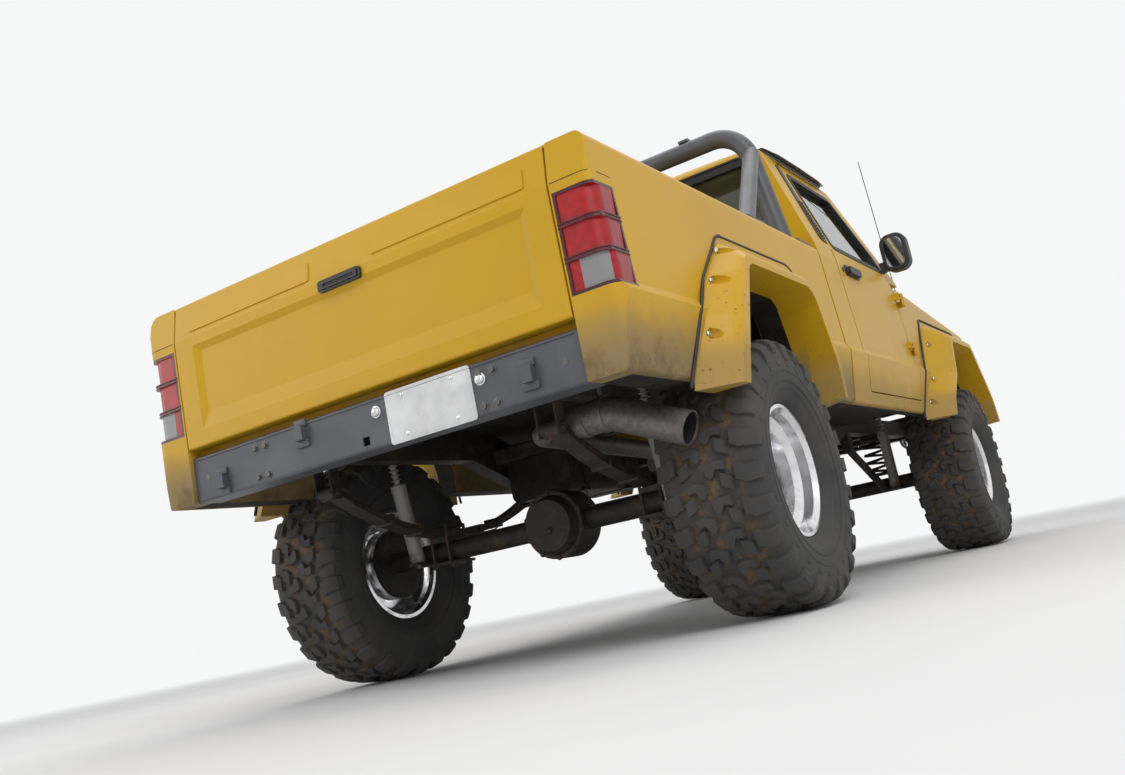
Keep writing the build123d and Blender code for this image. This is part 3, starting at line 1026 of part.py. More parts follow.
# Front control arms, from the axle back to the frame
ARM_RADIUS = 20.0
with BuildPart() as control_arms:
    front_end = Vector(400, FRONT_AXLE_Y + AXLE_TUBE_RADIUS + 4, 400)
    rear_end = Vector(390, -1000, 620)
    with BuildSketch(Plane(origin=front_end, z_dir=rear_end - front_end)):
        Circle(ARM_RADIUS)
    extrude(amount=(rear_end - front_end).length)
    with BuildSketch(Plane.XY.offset(600)):
        with Locations((rear_end.X, rear_end.Y)):
            Rectangle(40, 70)
    extrude(amount=100)
    add(frame_rails.part, mode=Mode.SUBTRACT)
    add(axle_parts["front_axle"], mode=Mode.SUBTRACT)
    mirror(about=Plane.YZ)
save(control_arms, "control_arms")

# Exhaust: pipe, silencer and the turned tail
with BuildPart() as exhaust:
    with BuildLine():
        FilletPolyline((-250, -900, 600), (-250, 400, 600), (-300, 1000, 620), (-300, TAIL_Y, 665),
                       (-480, TAIL_Y, 665), radius=90)
    with BuildSketch(Plane(origin=(-250, -900, 600), z_dir=(0, 1, 0))):
        Circle(PIPE_RADIUS)
    sweep()
    with BuildSketch(Plane.XZ.offset(-350)):
        with Locations((-262, 600)):
            Ellipse(100, 62)
    extrude(amount=-500)
    tail_start = Vector(-430, TAIL_Y, 665)
    tail_bend = Vector(-580, TAIL_Y, 665)
    tail_end = Vector(-817, TAIL_Y, 561)
    with BuildLine():
        FilletPolyline(tail_start, tail_bend, tail_end, radius=160)
    with BuildSketch(Plane(origin=tail_start, z_dir=tail_bend - tail_start)):
        Circle(TAIL_RADIUS)
    sweep()
    with BuildSketch(Plane(origin=tail_end, z_dir=tail_bend - tail_end)):
        Circle(TAIL_RADIUS - 4)
    extrude(amount=180, mode=Mode.SUBTRACT)
    for x, y, low, high in ((-300, 1000, 620, 730), (-560, TAIL_Y, 665, BED_FLOOR_Z)):
        with BuildSketch(Plane.XY.offset(low)):
            with Locations((x, y)):
                Circle(6)
        extrude(amount=high - low)
save(exhaust, "exhaust")

# Fuel tank between the driveshaft and the left rail
with BuildPart() as fuel_tank:
    with BuildSketch(Plane.XZ.offset(-960)):
        with Locations((260, 660)):
            RectangleRounded(2 * (REAR_RAIL_X - 260), 180, 30)
    extrude(amount=600)
save(fuel_tank, "fuel_tank")

# Engine block, gearbox, transfer case and both driveshafts
with BuildPart() as drivetrain:
    with BuildSketch(Plane.XY.offset(770)):
        with Locations((0, -1600)):
            Rectangle(320, 640)
    extrude(amount=370)
    with BuildSketch(Plane.XZ.offset(1300)):
        with Locations((0, 660)):
            Circle(75)
    extrude(amount=-640)
    with BuildSketch(Plane.XZ.offset(1420)):
        with Locations((0, 720)):
            Rectangle(240, 180)
    extrude(amount=-120)
    with BuildSketch(Plane.XZ.offset(690)):
        with Locations((40, 630)):
            RectangleRounded(360, 180, 40)
    extrude(amount=-235)
    for start, end, radius in (((-60, -460, 590), (-60, REAR_AXLE_Y - 55, 430), 30),
                               ((180, -685, 590), (180, FRONT_AXLE_Y + 55, 430), 24)):
        axis = Vector(end) - Vector(start)
        with BuildSketch(Plane(origin=start, z_dir=axis)):
            Circle(radius)
        extrude(amount=axis.length)
    for part in axle_parts.values():
        add(part, mode=Mode.SUBTRACT)
save(drivetrain, "drivetrain")

# Bench seat
with BuildPart() as seat:
    with BuildSketch(Plane.YZ.offset(-620)):
        fill(((-260, CAB_FLOOR_Z, 0), (-300, 1010, 40), (-260, 1070, 30), (120, 1040, 30), (210, 1500, 30),
              (270, 1500, 20), (285, 1040, 0), (285, CAB_FLOOR_Z, 0)))
    extrude(amount=1240)
save(seat, "seat")

# Dashboard with the steering column and wheel on the left
WHEEL_CENTRE = Vector(380, -480, 1250)
COLUMN_AXIS = Vector(0, -0.9, -0.44)
with BuildPart() as dashboard:
    with BuildSketch(Plane.YZ.offset(-780)):
        fill(((CAB_FRONT_Y + 40, 1120, 0), (-680, 1120, 40), (-600, 1200, 40), (-640, 1300, 50),
              (CAB_FRONT_Y + 40, 1310, 0)))
    extrude(amount=1560)
    with BuildSketch(Plane(origin=WHEEL_CENTRE, z_dir=COLUMN_AXIS)):
        Circle(24)
    extrude(amount=260)
    with BuildSketch(Plane(origin=WHEEL_CENTRE, x_dir=(1, 0, 0), z_dir=COLUMN_AXIS)):
        Circle(190)
        Circle(170, mode=Mode.SUBTRACT)
        Rectangle(360, 40)
    extrude(amount=18)
save(dashboard, "dashboard")

# Antenna on the right front fender
MAST_Y = -1147.0
FENDER_FALL = (HOOD_FRONT_Z - HOOD_REAR_Z) / (CAB_FRONT_Y - PANEL_FRONT_Y)
MAST_BASE_Z = HOOD_REAR_Z + FENDER_FALL * (CAB_FRONT_Y - MAST_Y)
with BuildPart() as antenna:
    with BuildSketch(Plane.XY.offset(MAST_BASE_Z - 3)):
        with Locations((-790, MAST_Y)):
            Circle(16)
    extrude(amount=28, taper=18)
    add(front_fenders.part, mode=Mode.SUBTRACT)
    with BuildSketch(Plane(origin=(-790, MAST_Y, MAST_BASE_Z + 10), z_dir=(30, -46, 800))):
        Circle(2.2)
    extrude(amount=802)
save(antenna, "antenna")
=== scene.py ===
import logging
import math
from collections.abc import Callable, Sequence
from dataclasses import dataclass
from enum import Enum

import bmesh
import bpy
from mathutils import Matrix, Vector


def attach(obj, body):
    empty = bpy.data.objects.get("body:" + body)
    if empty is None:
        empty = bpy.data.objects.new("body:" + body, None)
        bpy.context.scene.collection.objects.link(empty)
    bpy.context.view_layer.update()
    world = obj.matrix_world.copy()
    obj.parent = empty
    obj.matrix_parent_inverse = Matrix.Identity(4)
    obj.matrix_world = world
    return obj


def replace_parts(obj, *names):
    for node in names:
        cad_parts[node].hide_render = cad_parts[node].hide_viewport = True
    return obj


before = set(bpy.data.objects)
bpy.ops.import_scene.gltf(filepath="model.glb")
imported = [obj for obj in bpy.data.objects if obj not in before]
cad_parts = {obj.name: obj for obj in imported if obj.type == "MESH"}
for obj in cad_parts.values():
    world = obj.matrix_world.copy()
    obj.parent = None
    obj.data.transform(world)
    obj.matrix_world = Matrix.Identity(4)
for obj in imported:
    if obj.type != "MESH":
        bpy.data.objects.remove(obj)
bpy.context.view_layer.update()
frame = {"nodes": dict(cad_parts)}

LOG = logging.getLogger("pickup")
Colour = tuple[float, float, float]
Point = tuple[float, float, float]
Flat = tuple[float, float]
Spot = Point | Vector
Outline = tuple[tuple[float, float, float], ...]
Flats = tuple[Flat, ...]
Rows = list[tuple[float, float, float, float]]

FRONT_AXLE_Y = -1.502
REAR_AXLE_Y = 1.368
AXLE_Z = 0.419
WHEEL_X = 0.796
BODY = "truck"
DOORS = ((1, "door_left"), (-1, "door_right"))
MM = 0.001
CORE = 0.0001  # least radius in a lathe's profile: the pinhole that a disc keeps

# Body side: height and half width of each corner of the section
SIDE_SECTION = ((0.689, 0.858), (0.899, 0.893), (0.924, 0.878), (1.342, 0.860))
REAR_SEAL = ((515, 640, 0), (408, 880, 60), (290, 1010, 80), (90, 1182, 90), (-600, 1182, 110),
             (-690, 900, 120), (-680, 640, 0))
FRONT_SEAL = ((741, 640, 0), (735, 690, 20), (632, 900, 60), (385, 1192, 60), (-400, 1192, 110),
              (-620, 900, 120), (-650, 640, 0))
# Flare pockets: distance behind the axle and height
REAR_POCKETS = ((155, 1110), (266, 997), (387, 819), (-560, 1110), (-581, 997), (-622, 819))
FRONT_POCKETS = ((405, 1050), (540, 860), (640, 740), (-411, 1050), (-533, 900), (-586, 760))


class Axis(Enum):
    """The vehicle's directions, with the order that turns (u, v, along) into x, y, z."""

    X = (2, 0, 1)
    Y = (0, 2, 1)
    Z = (0, 1, 2)

    def place(self, u: float, v: float, along: float) -> Point:
        """Return the point at (u, v) in the plane across this axis, at a distance along it."""
        values = (u, v, along)
        return (values[self.value[0]], values[self.value[1]], values[self.value[2]])


def maths(operation: str, swapped: bool = False) -> Callable[..., "Sock"]:
    """Make a method of Sock from one Math node.

    Args:
        operation: The node's operation.
        swapped: The other value comes first.

    Returns:
        The method, which takes any further values and returns the node's result.
    """
    def run(self: "Sock", *others: "Sock | float") -> "Sock":
        """Return the result of one Math node."""
        values = (*others, self) if swapped else (self, *others)
        return self.graph.node("ShaderNodeMath", {"operation": operation}, dict(enumerate(values)))

    return run


class Sock:
    """A shader value that takes part in Python sums."""

    def __init__(self, graph: "Tree", socket: bpy.types.NodeSocket) -> None:
        """Keep the tree and the socket that it wraps."""
        self.graph = graph
        self.socket = socket

    __add__ = __radd__ = maths("ADD")
    __sub__, __rsub__ = maths("SUBTRACT"), maths("SUBTRACT", True)
    __mul__ = __rmul__ = maths("MULTIPLY")
    __pow__, __abs__ = maths("POWER"), maths("ABSOLUTE")
    least, most = maths("MINIMUM"), maths("MAXIMUM")
    sine, above = maths("SINE"), maths("GREATER_THAN")

    def below(self, level: float) -> "Sock":
        """Return 1 where the value is not above the level, else 0."""
        return 1.0 - self.above(level)

    def within(self, low: float, high: float) -> "Sock":
        """Return 1 where the value lies between two levels, else 0."""
        return self.above(low) * self.below(high)

    def rise(self, low: float, high: float) -> "Sock":
        """Return a smooth step from 0 at low to 1 at high.

        Args:
            low: Value at which the step starts.
            high: Value at which it ends, above low.

        Returns:
            The step as a value between 0 and 1.
        """
        return self.graph.node(
            "ShaderNodeMapRange", {"interpolation_type": "SMOOTHSTEP"},
            {"Value": self, "From Min": low, "From Max": high})

    def fall(self, low: float, high: float) -> "Sock":
        """Return a smooth step from 1 at low down to 0 at high."""
        return 1.0 - self.rise(low, high)


Feed = Sock | float | Colour


class Tree:
    """The node tree of a material or of the world."""

    def __init__(self, owner: bpy.types.Material | bpy.types.World) -> None:
        """Take over the owner's tree.

        Args:
            owner: The material or the world.
        """
        owner.use_nodes = True
        self.owner = owner
        self.nodes = owner.node_tree.nodes
        self.links = owner.node_tree.links

    def feed(self, socket: bpy.types.NodeSocket, value: Feed) -> None:
        """Link or set one input.

        Args:
            socket: The input that is fed.
            value: A shader value, a number or a colour.
        """
        if isinstance(value, Sock):
            self.links.new(value.socket, socket)
        elif isinstance(value, tuple) and socket.type == "RGBA":
            socket.default_value = (*value[:3], 1.0)
        else:
            socket.default_value = value

    def node(self, kind: str, settings: dict[str, object] | None = None,
             inputs: dict[int | str, Feed] | None = None, out: int | str = 0) -> Sock:
        """Add a node of any kind.

        Args:
            kind: Blender's name for the node type.
            settings: Its own settings; "stops" gives a ramp's places and colours.
            inputs: Values or links by socket name or number.
            out: The output that is wanted.

        Returns:
            The output as a value for sums.
        """
        made = self.nodes.new(kind)
        for key, value in (settings or {}).items():
            if key == "stops":
                elements = made.color_ramp.elements
                while len(elements) < len(value):
                    elements.new(1.0)
                for element, (stop, colour) in zip(elements, value):
                    element.position = stop
                    element.color = (*colour, 1.0)
            else:
                setattr(made, key, value)
        for key, value in (inputs or {}).items():
            self.feed(made.inputs[key], value)
        return Sock(self, made.outputs[out])


class Graph(Tree):
    """A material's node tree round one principled shader."""

    def __init__(self, name: str) -> None:
        """Start an empty material.

        Args:
            name: Name of the material.
        """
        super().__init__(bpy.data.materials.new(name))
        self.shader = self.nodes["Principled BSDF"]
        self.place = self.node("ShaderNodeTexCoord", out="Object")
        self.x, self.y, self.z = (
            self.node("ShaderNodeSeparateXYZ", None, {0: self.place}, way) for way in "XYZ")

    def set(self, **values: Feed) -> None:
        """Feed the shader's inputs, named with _ for a space."""
        for key, value in values.items():
            self.feed(self.shader.inputs[key.replace("_", " ")], value)

    def noise(self, scale: float, detail: float = 3.0, rough: float = 0.55,
              stretch: Point = (1.0, 1.0, 1.0)) -> Sock:
        """Return cloudy noise.

        Args:
            scale: Waves per metre, about.
            detail: Octaves of finer noise.
            rough: Weight of the finer octaves.
            stretch: How much quicker it varies along each axis.

        Returns:
            Noise round one half.
        """
        where = self.place
        if stretch != (1.0, 1.0, 1.0):
            where = self.node("ShaderNodeMapping", None, {"Vector": self.place, "Scale": stretch})
        return self.node("ShaderNodeTexNoise", None,
                         {"Vector": where, "Scale": scale, "Detail": detail, "Roughness": rough})

    def cells(self, scale: float) -> Sock:
        """Return the distance to the nearest of many scattered points."""
        return self.node("ShaderNodeTexVoronoi", None, {"Vector": self.place, "Scale": scale}, "Distance")

    def blend(self, share: Feed, first: Feed, second: Feed) -> Sock:
        """Return a mix of two colours.

        Args:
            share: 0 for the first, 1 for the second.
            first: The colour at 0.
            second: The colour at 1.

        Returns:
            The mixed colour.
        """
        return self.node("ShaderNodeMix", {"data_type": "RGBA"}, {0: share, 6: first, 7: second}, 2)

    def dent(self, height: Sock, depth: float, strength: float = 1.0) -> None:
        """Give the surface relief.

        Args:
            height: Relief from 0 to 1.
            depth: Size of that relief in metres.
            strength: Share of the effect.
        """
        self.set(Normal=self.node("ShaderNodeBump", None,
                                  {"Strength": strength, "Distance": depth, "Height": height}))

    def wheel_radius(self) -> Sock:
        """Measure the distance from the nearer axle's line.

        Returns:
            The distance in metres.
        """
        up = (self.z - AXLE_Z) ** 2.0
        front, rear = ((self.y - axle) ** 2.0 + up for axle in (FRONT_AXLE_Y, REAR_AXLE_Y))
        return front.least(rear) ** 0.5

    def painted_shade_below(self) -> Sock:
        """Mask the body's undersides and the walls inside its wheel arches, where shade is painted in.

        Returns:
            The mask, 1 on those faces and 0 elsewhere.
        """
        half = abs(self.x)
        facing = self.node("ShaderNodeSeparateXYZ", None,
                           {0: self.node("ShaderNodeNewGeometry", out="True Normal")}, "Z")
        under = facing.below(-0.6) * self.z.below(1.118) * half.below(0.835)
        walls = half.within(0.604, 0.832) * self.z.below(1.1165) * (1.0 - half.within(0.741, 0.743))
        arches = self.y.within(0.812, 1.694).most(self.y.within(-2.12, -0.93))
        return under.most(walls * arches) * self.y.below(2.165)

    def mud(self, top: float, fade: float, amount: float) -> Sock:
        """Return a mask of splashed mud that thins out with height.

        Args:
            top: Height in metres where it ends.
            fade: Depth over which it thickens below that.
            amount: Most cover, from 0 to 1.

        Returns:
            The mask, from 0 to 1.
        """
        low = self.z.fall(top - fade, top)
        clouds = self.noise(9.0, 6.0, 0.7)
        drops = self.cells(70.0).fall(0.1, 0.35)
        patch = (clouds + low * amount * 0.5 - 0.5).rise(0.12, 0.3)
        splash = drops * (self.noise(23.0, 2.0) * low).rise(0.42, 0.6)
        return patch.most(splash * amount) * low


@dataclass(frozen=True)
class Finish:
    """A finish with a name and its main values. Its material is made once."""

    name: str
    colour: Colour
    roughness: float = 0.5

    def material(self) -> bpy.types.Material:
        """Find the material, and make it on first use.

        Returns:
            The material.
        """
        found = bpy.data.materials.get(self.name)
        if found is not None:
            return found
        graph = Graph(self.name)
        self.paint(graph)
        return graph.owner

    def paint(self, graph: Graph) -> None:
        """Set the shader; each kind of finish has its own.

        Args:
            graph: The material's nodes.
        """
        grain = graph.noise(60.0, 4.0)
        graph.set(Base_Color=graph.blend(grain.rise(0.3, 0.8), self.colour, shade(self.colour, 0.8)),
                  Roughness=grain * 0.15 + (self.roughness - 0.07))
        graph.dent(graph.noise(420.0, 2.0), 0.0004, 0.4)


MUD: Colour = (0.115, 0.068, 0.030)
DRY_MUD: Colour = (0.20, 0.135, 0.070)
DUST: Colour = (0.20, 0.165, 0.115)
# Near black, painted on undersides and wheel-arch walls as shade
UNDERSIDE_SHADE: Colour = (0.014, 0.013, 0.012)


def shade(colour: Colour, share: float) -> Colour:
    """Return a colour made darker or lighter by a factor."""
    return (colour[0] * share, colour[1] * share, colour[2] * share)


@dataclass(frozen=True)
class BodyPaint(Finish):
    """Gloss paint under a clear coat, with orange peel, dust and splashed mud, and painted shade under the
    body and inside the wheel arches.
    """

    mud_top: float = 1.0
    mud_amount: float = 0.5

    def paint(self, graph: Graph) -> None:
        """Set the shader.

        Args:
            graph: The material's nodes.
        """
        tone = graph.blend(graph.noise(1.6, 3.0).rise(0.3, 0.7), self.colour, shade(self.colour, 0.93))
        low = graph.z.fall(0.72, self.mud_top)
        smear = (graph.noise(3.2, 5.0, 0.6) + low * 0.35 - 0.35).rise(0.1, 0.42) * low * self.mud_amount
        film = graph.noise(5.0, 5.0, 0.65).rise(0.4, 0.85) * graph.z.fall(0.7, 1.5) * 0.14
        thrown = graph.wheel_radius().fall(0.45, 0.72) * graph.noise(16.0, 3.0).rise(0.4, 0.62)
        specks = graph.cells(42.0).fall(0.12, 0.26) * thrown * graph.z.fall(1.05, 1.15)
        mud = graph.mud(self.mud_top, 0.45, self.mud_amount).most(specks)
        clumps = graph.noise(45.0, 4.0)
        earth = graph.blend(clumps.rise(0.35, 0.7), MUD, DRY_MUD)
        # Painted shade: faces that look down and the walls inside the wheel arches turn near black, with
        # darker mud in patches
        painted_shade_below = graph.painted_shade_below()
        underside_shade = graph.blend(graph.noise(11.0, 6.0, 0.7).rise(0.45, 0.8), UNDERSIDE_SHADE, shade(MUD, 0.45))
        outside = graph.blend(mud, graph.blend(smear.most(film), tone, DUST), earth)
        rough = (smear * 0.5 + film * 0.4 + mud * 0.55 + self.roughness).least(0.95)
        graph.set(Base_Color=graph.blend(painted_shade_below, outside, underside_shade), Roughness=rough.most(painted_shade_below * 0.9),
                  Coat_Weight=(1.0 - mud.most(smear).most(painted_shade_below)) * 0.12, Coat_Roughness=0.15,
                  Specular_IOR_Level=0.28)
        graph.dent(graph.noise(330.0, 2.0) * 0.06 + mud * clumps + painted_shade_below * graph.noise(70.0, 4.0) * 0.5,
                   0.004, 0.5)


@dataclass(frozen=True)
class SatinPaint(Finish):
    """Sprayed satin paint with worn spots, fine texture and some dirt."""

    mud_top: float = 0.9
    mud_amount: float = 0.4
    wear: float = 0.25

    def paint(self, graph: Graph) -> None:
        """Set the shader.

        Args:
            graph: The material's nodes.
        """
        tone = graph.blend(graph.noise(7.0, 5.0).rise(0.35, 0.7), self.colour, shade(self.colour, 1.35))
        scuff = graph.noise(34.0, 8.0, 0.75, (1.0, 1.0, 3.0)).rise(0.62, 0.74) * self.wear
        mud = graph.mud(self.mud_top, 0.5, self.mud_amount)
        graph.set(Base_Color=graph.blend(mud, graph.blend(scuff, tone, (0.22, 0.2, 0.18)), MUD),
                  Roughness=(mud * 0.4 + graph.noise(90.0, 3.0) * 0.2 + self.roughness - 0.1).least(0.95))
        graph.dent(graph.noise(700.0, 2.0) + mud * graph.noise(80.0, 4.0) * 3.0, 0.0005, 0.6)


@dataclass(frozen=True)
class DirtyMetal(Finish):
    """Cast or rolled metal under old paint, rust and caked earth."""

    metallic: float = 0.5
    dirt: float = 0.6
    rust: float = 0.3

    def paint(self, graph: Graph) -> None:
        """Set the shader.

        Args:
            graph: The material's nodes.
        """
        rust = graph.noise(26.0, 8.0, 0.7).rise(0.5, 0.68) * self.rust
        dirt = graph.noise(8.0, 7.0, 0.7).rise(0.62 - self.dirt * 0.3, 0.85) * self.dirt
        base = graph.blend(graph.noise(70.0, 4.0).rise(0.3, 0.75), self.colour, shade(self.colour, 1.5))
        rusty = graph.blend(rust, base, (0.16, 0.062, 0.025))
        graph.set(Base_Color=graph.blend(dirt, rusty, DRY_MUD),
                  Metallic=(1.0 - (rust + dirt).least(1.0)) * self.metallic,
                  Roughness=(rust * 0.3 + dirt * 0.4 + self.roughness).least(0.95))
        graph.dent(graph.noise(240.0, 6.0, 0.7) + dirt * graph.noise(60.0, 4.0) * 2.0, 0.0012, 0.7)


@dataclass(frozen=True)
class TurnedMetal(Finish):
    """Bright metal with fine turning lines round the axles, and a film of dust."""

    dust: float = 0.3

    def paint(self, graph: Graph) -> None:
        """Set the shader.

        Args:
            graph: The material's nodes.
        """
        radius = graph.wheel_radius()
        lines = (radius * 5200.0 + graph.noise(12.0) * 3.0).sine()
        film = graph.noise(16.0, 6.0, 0.7).rise(0.45, 0.8) * self.dust
        graph.set(Base_Color=graph.blend(film, self.colour, DUST), Metallic=1.0 - film,
                  Roughness=(film * 0.6 + graph.noise(50.0, 3.0) * 0.1 + self.roughness).least(0.9))
        graph.dent(lines * 0.5 + 0.5, 0.00006, 0.35)


@dataclass(frozen=True)
class Chrome(Finish):
    """Plated metal with faint pitting."""

    def paint(self, graph: Graph) -> None:
        """Set the shader.

        Args:
            graph: The material's nodes.
        """
        pits = graph.cells(300.0).fall(0.02, 0.12)
        graph.set(Base_Color=graph.blend(pits * 0.5, self.colour, DUST), Metallic=1.0,
                  Roughness=pits * 0.4 + self.roughness)
        graph.dent(graph.noise(150.0, 2.0), 0.0002, 0.2)


@dataclass(frozen=True)
class PaneGlass(Finish):
    """Clear or tinted pane with a film of dust."""

    def paint(self, graph: Graph) -> None:
        """Set the shader.

        Args:
            graph: The material's nodes.
        """
        film = graph.noise(14.0, 6.0, 0.7).rise(0.5, 0.9)
        graph.set(Base_Color=graph.blend(film * 0.2, self.colour, DUST),
                  Roughness=film * 0.12 + self.roughness, Transmission_Weight=1.0, IOR=1.45)


@dataclass(frozen=True)
class LampLens(Finish):
    """Moulded lens with fine prisms: red, with a clear reversing lamp and darker side."""

    clear: Colour = (0.24, 0.235, 0.24)
    frame: Colour = (0.05, 0.008, 0.010)

    def paint(self, graph: Graph) -> None:
        """Set the shader.

        Args:
            graph: The material's nodes.
        """
        half = abs(graph.x)
        window = half.within(0.787, 0.866) * graph.y.above(2.18) * graph.z.below(1.006)
        sideways = graph.y.fall(2.185, 2.205)
        tone = graph.blend(graph.noise(40.0, 2.0).rise(0.3, 0.7), self.colour, shade(self.colour, 0.75))
        red = graph.blend(sideways * 0.45, tone, (0.16, 0.012, 0.02))
        prisms = (graph.z * 900.0).sine() * (graph.x * 900.0).sine()
        rib = graph.z.within(1.000, 1.015).most(graph.z.within(1.093, 1.108))
        rim = (1.0 - graph.z.within(0.921, 1.184)).most(half.below(0.756)).most(graph.y.below(2.127))
        lens = graph.blend(rib, graph.blend(window, red, self.clear), (0.13, 0.010, 0.014))
        graph.set(Base_Color=graph.blend(rim, lens, self.frame),
                  Roughness=graph.noise(30.0) * 0.1 + self.roughness, Coat_Weight=0.3,
                  Coat_Roughness=0.05, Specular_IOR_Level=0.35)
        graph.dent(prisms * 0.5 + 0.5, 0.0006, 0.35)


@dataclass(frozen=True)
class TyreRubber(Finish):
    """Dusty black rubber with brown mud packed between the lugs."""

    def paint(self, graph: Graph) -> None:
        """Set the shader.

        Args:
            graph: The material's nodes.
        """
        radius = graph.wheel_radius()
        groove = radius.rise(0.386, 0.398) * radius.fall(0.4075, 0.4135)
        across = abs(abs(graph.x) - WHEEL_X)
        clods = groove * graph.noise(17.0, 5.0, 0.6).rise(0.45, 0.62)
        packed = clods * (1.0 - across.rise(0.07, 0.13) * 0.9) * 0.8
        smear = graph.noise(13.0, 7.0, 0.75).rise(0.56, 0.78) * 0.35
        film = graph.noise(4.0, 4.0).rise(0.2, 0.8) * 0.7
        rubber = graph.blend(film, self.colour, (0.085, 0.080, 0.074))
        earth = graph.blend(graph.noise(70.0, 4.0).rise(0.3, 0.7), (0.12, 0.075, 0.030), (0.17, 0.11, 0.05))
        graph.set(Base_Color=graph.blend(packed, graph.blend(smear * 0.5, rubber, DUST), earth),
                  Roughness=graph.noise(30.0, 4.0) * 0.2 + self.roughness)
        graph.dent(graph.noise(260.0, 5.0, 0.7) + packed * graph.noise(60.0, 5.0) * 2.5, 0.0012, 0.6)


@dataclass(frozen=True)
class MouldedPlastic(Finish):
    """Grained plastic or rubber trim, greyed on top by dust."""

    grain: float = 900.0

    def paint(self, graph: Graph) -> None:
        """Set the shader.

        Args:
            graph: The material's nodes.
        """
        film = graph.noise(18.0, 5.0).rise(0.45, 0.85) * 0.3
        graph.set(Base_Color=graph.blend(film, self.colour, shade(DUST, 0.7)),
                  Roughness=film * 0.3 + self.roughness)
        graph.dent(graph.cells(self.grain), 0.0004, 0.5)


@dataclass(frozen=True)
class WovenCloth(Finish):
    """Seat cloth with a basket weave and soft wear."""

    threads: float = 1900.0

    def paint(self, graph: Graph) -> None:
        """Set the shader.

        Args:
            graph: The material's nodes.
        """
        warp = (graph.x * self.threads).sine()
        weft = ((graph.y + graph.z) * self.threads).sine()
        weave = warp * weft * 0.5 + 0.5
        fade = graph.noise(6.0, 5.0).rise(0.3, 0.8)
        tone = graph.blend(fade, self.colour, shade(self.colour, 1.7))
        graph.set(Base_Color=graph.blend(weave * 0.35, tone, shade(self.colour, 0.5)),
                  Roughness=self.roughness, Sheen_Weight=0.3)
        graph.dent(weave, 0.0008, 0.6)


YELLOW: Colour = (0.60, 0.345, 0.006)
PAINT = BodyPaint("yellow_body_paint", YELLOW, 0.42, 0.92, 0.45)
BED_PAINT = BodyPaint("yellow_bed_paint", YELLOW, 0.44, 0.95, 0.8)
FLARE_PAINT = BodyPaint("yellow_flare_paint", YELLOW, 0.42, 0.86, 0.5)
BUMPER_PAINT = SatinPaint("grey_bumper_paint", (0.062, 0.066, 0.075), 0.45, 0.85, 0.5)
BAR_PAINT = SatinPaint("grey_bar_paint", (0.075, 0.078, 0.085), 0.42, 1.0, 0.1, 0.12)
CHASSIS_PAINT = DirtyMetal("muddy_chassis_paint", (0.018, 0.017, 0.016), 0.6, 0.2, 0.55, 0.25)
CAST = DirtyMetal("dirty_cast_iron", (0.035, 0.032, 0.03), 0.62, 0.5, 0.6, 0.5)
SPRING = DirtyMetal("dirty_spring_steel", (0.03, 0.028, 0.026), 0.55, 0.4, 0.5, 0.4)
SHOCK = SatinPaint("pale_grey_damper_paint", (0.30, 0.29, 0.28), 0.4, 0.75, 0.6, 0.4)
PIPE = DirtyMetal("dull_exhaust_steel", (0.15, 0.135, 0.125), 0.48, 0.75, 0.4, 0.25)
SOOT = Finish("sooty_pipe_inside", (0.006, 0.006, 0.006), 0.9)
RUBBER = MouldedPlastic("black_seal_rubber", (0.012, 0.012, 0.013), 0.6)
PLASTIC = MouldedPlastic("black_moulded_plastic", (0.016, 0.016, 0.018), 0.45)
DASH = MouldedPlastic("grey_dashboard_vinyl", (0.03, 0.03, 0.032), 0.55, 600.0)
VISOR = MouldedPlastic("smoked_brown_visor", (0.035, 0.022, 0.014), 0.22, 1500.0)
WINDOW = PaneGlass("tinted_window_glass", (0.60, 0.68, 0.66), 0.01)
LENS_CLEAR = PaneGlass("clear_lamp_glass", (0.95, 0.96, 0.97), 0.03)
LENS_RED = LampLens("red_lamp_lens", (0.42, 0.002, 0.005), 0.26)
LENS_AMBER = MouldedPlastic("amber_marker_lens", (0.60, 0.12, 0.002), 0.18, 500.0)
BEZEL = MouldedPlastic("dark_red_lamp_bezel", (0.085, 0.012, 0.016), 0.25, 1200.0)
ALLOY = TurnedMetal("polished_wheel_alloy", (0.80, 0.80, 0.81), 0.14)
ZINC = Chrome("bright_plated_steel", (0.72, 0.72, 0.73), 0.14)
BOLT = DirtyMetal("dull_bolt_steel", (0.10, 0.095, 0.09), 0.4, 0.9, 0.3, 0.3)
MIRROR = Chrome("silvered_mirror", (0.62, 0.64, 0.66), 0.03)
PLATE = SatinPaint("blank_plate_enamel", (0.56, 0.57, 0.565), 0.3, 0.78, 0.35, 0.1)
TYRE = TyreRubber("muddy_tyre_rubber", (0.034, 0.034, 0.035), 0.72)
CLOTH = WovenCloth("grey_seat_cloth", (0.055, 0.056, 0.062), 0.85)


def show(name: str, data: bpy.types.ID) -> bpy.types.Object:
    """Put a mesh, camera or light into the scene.

    Args:
        name: Name of the object.
        data: What it shows.

    Returns:
        The object.
    """
    made = bpy.data.objects.new(name, data)
    bpy.context.scene.collection.objects.link(made)
    return made


def circle(steps: int) -> list[float]:
    """Return that many even angles round a circle."""
    return [2 * math.pi * k / steps for k in range(steps)]


def ring(low: float, high: float, outer: float, inner: float = CORE) -> list[Flat]:
    """Return a lathe's profile of a flat ring, or of a disc where no inner radius is given."""
    return [(low, inner), (low, outer), (high, outer), (high, inner)]


def oblong(low: Flat, high: Flat, radius: float, steps: int = 5) -> list[Flat]:
    """Return a rounded rectangle between two corners."""
    (u0, v0), (u1, v1) = low, high
    return rounded(((u0, v0, radius), (u1, v0, radius), (u1, v1, radius), (u0, v1, radius)), steps, True)


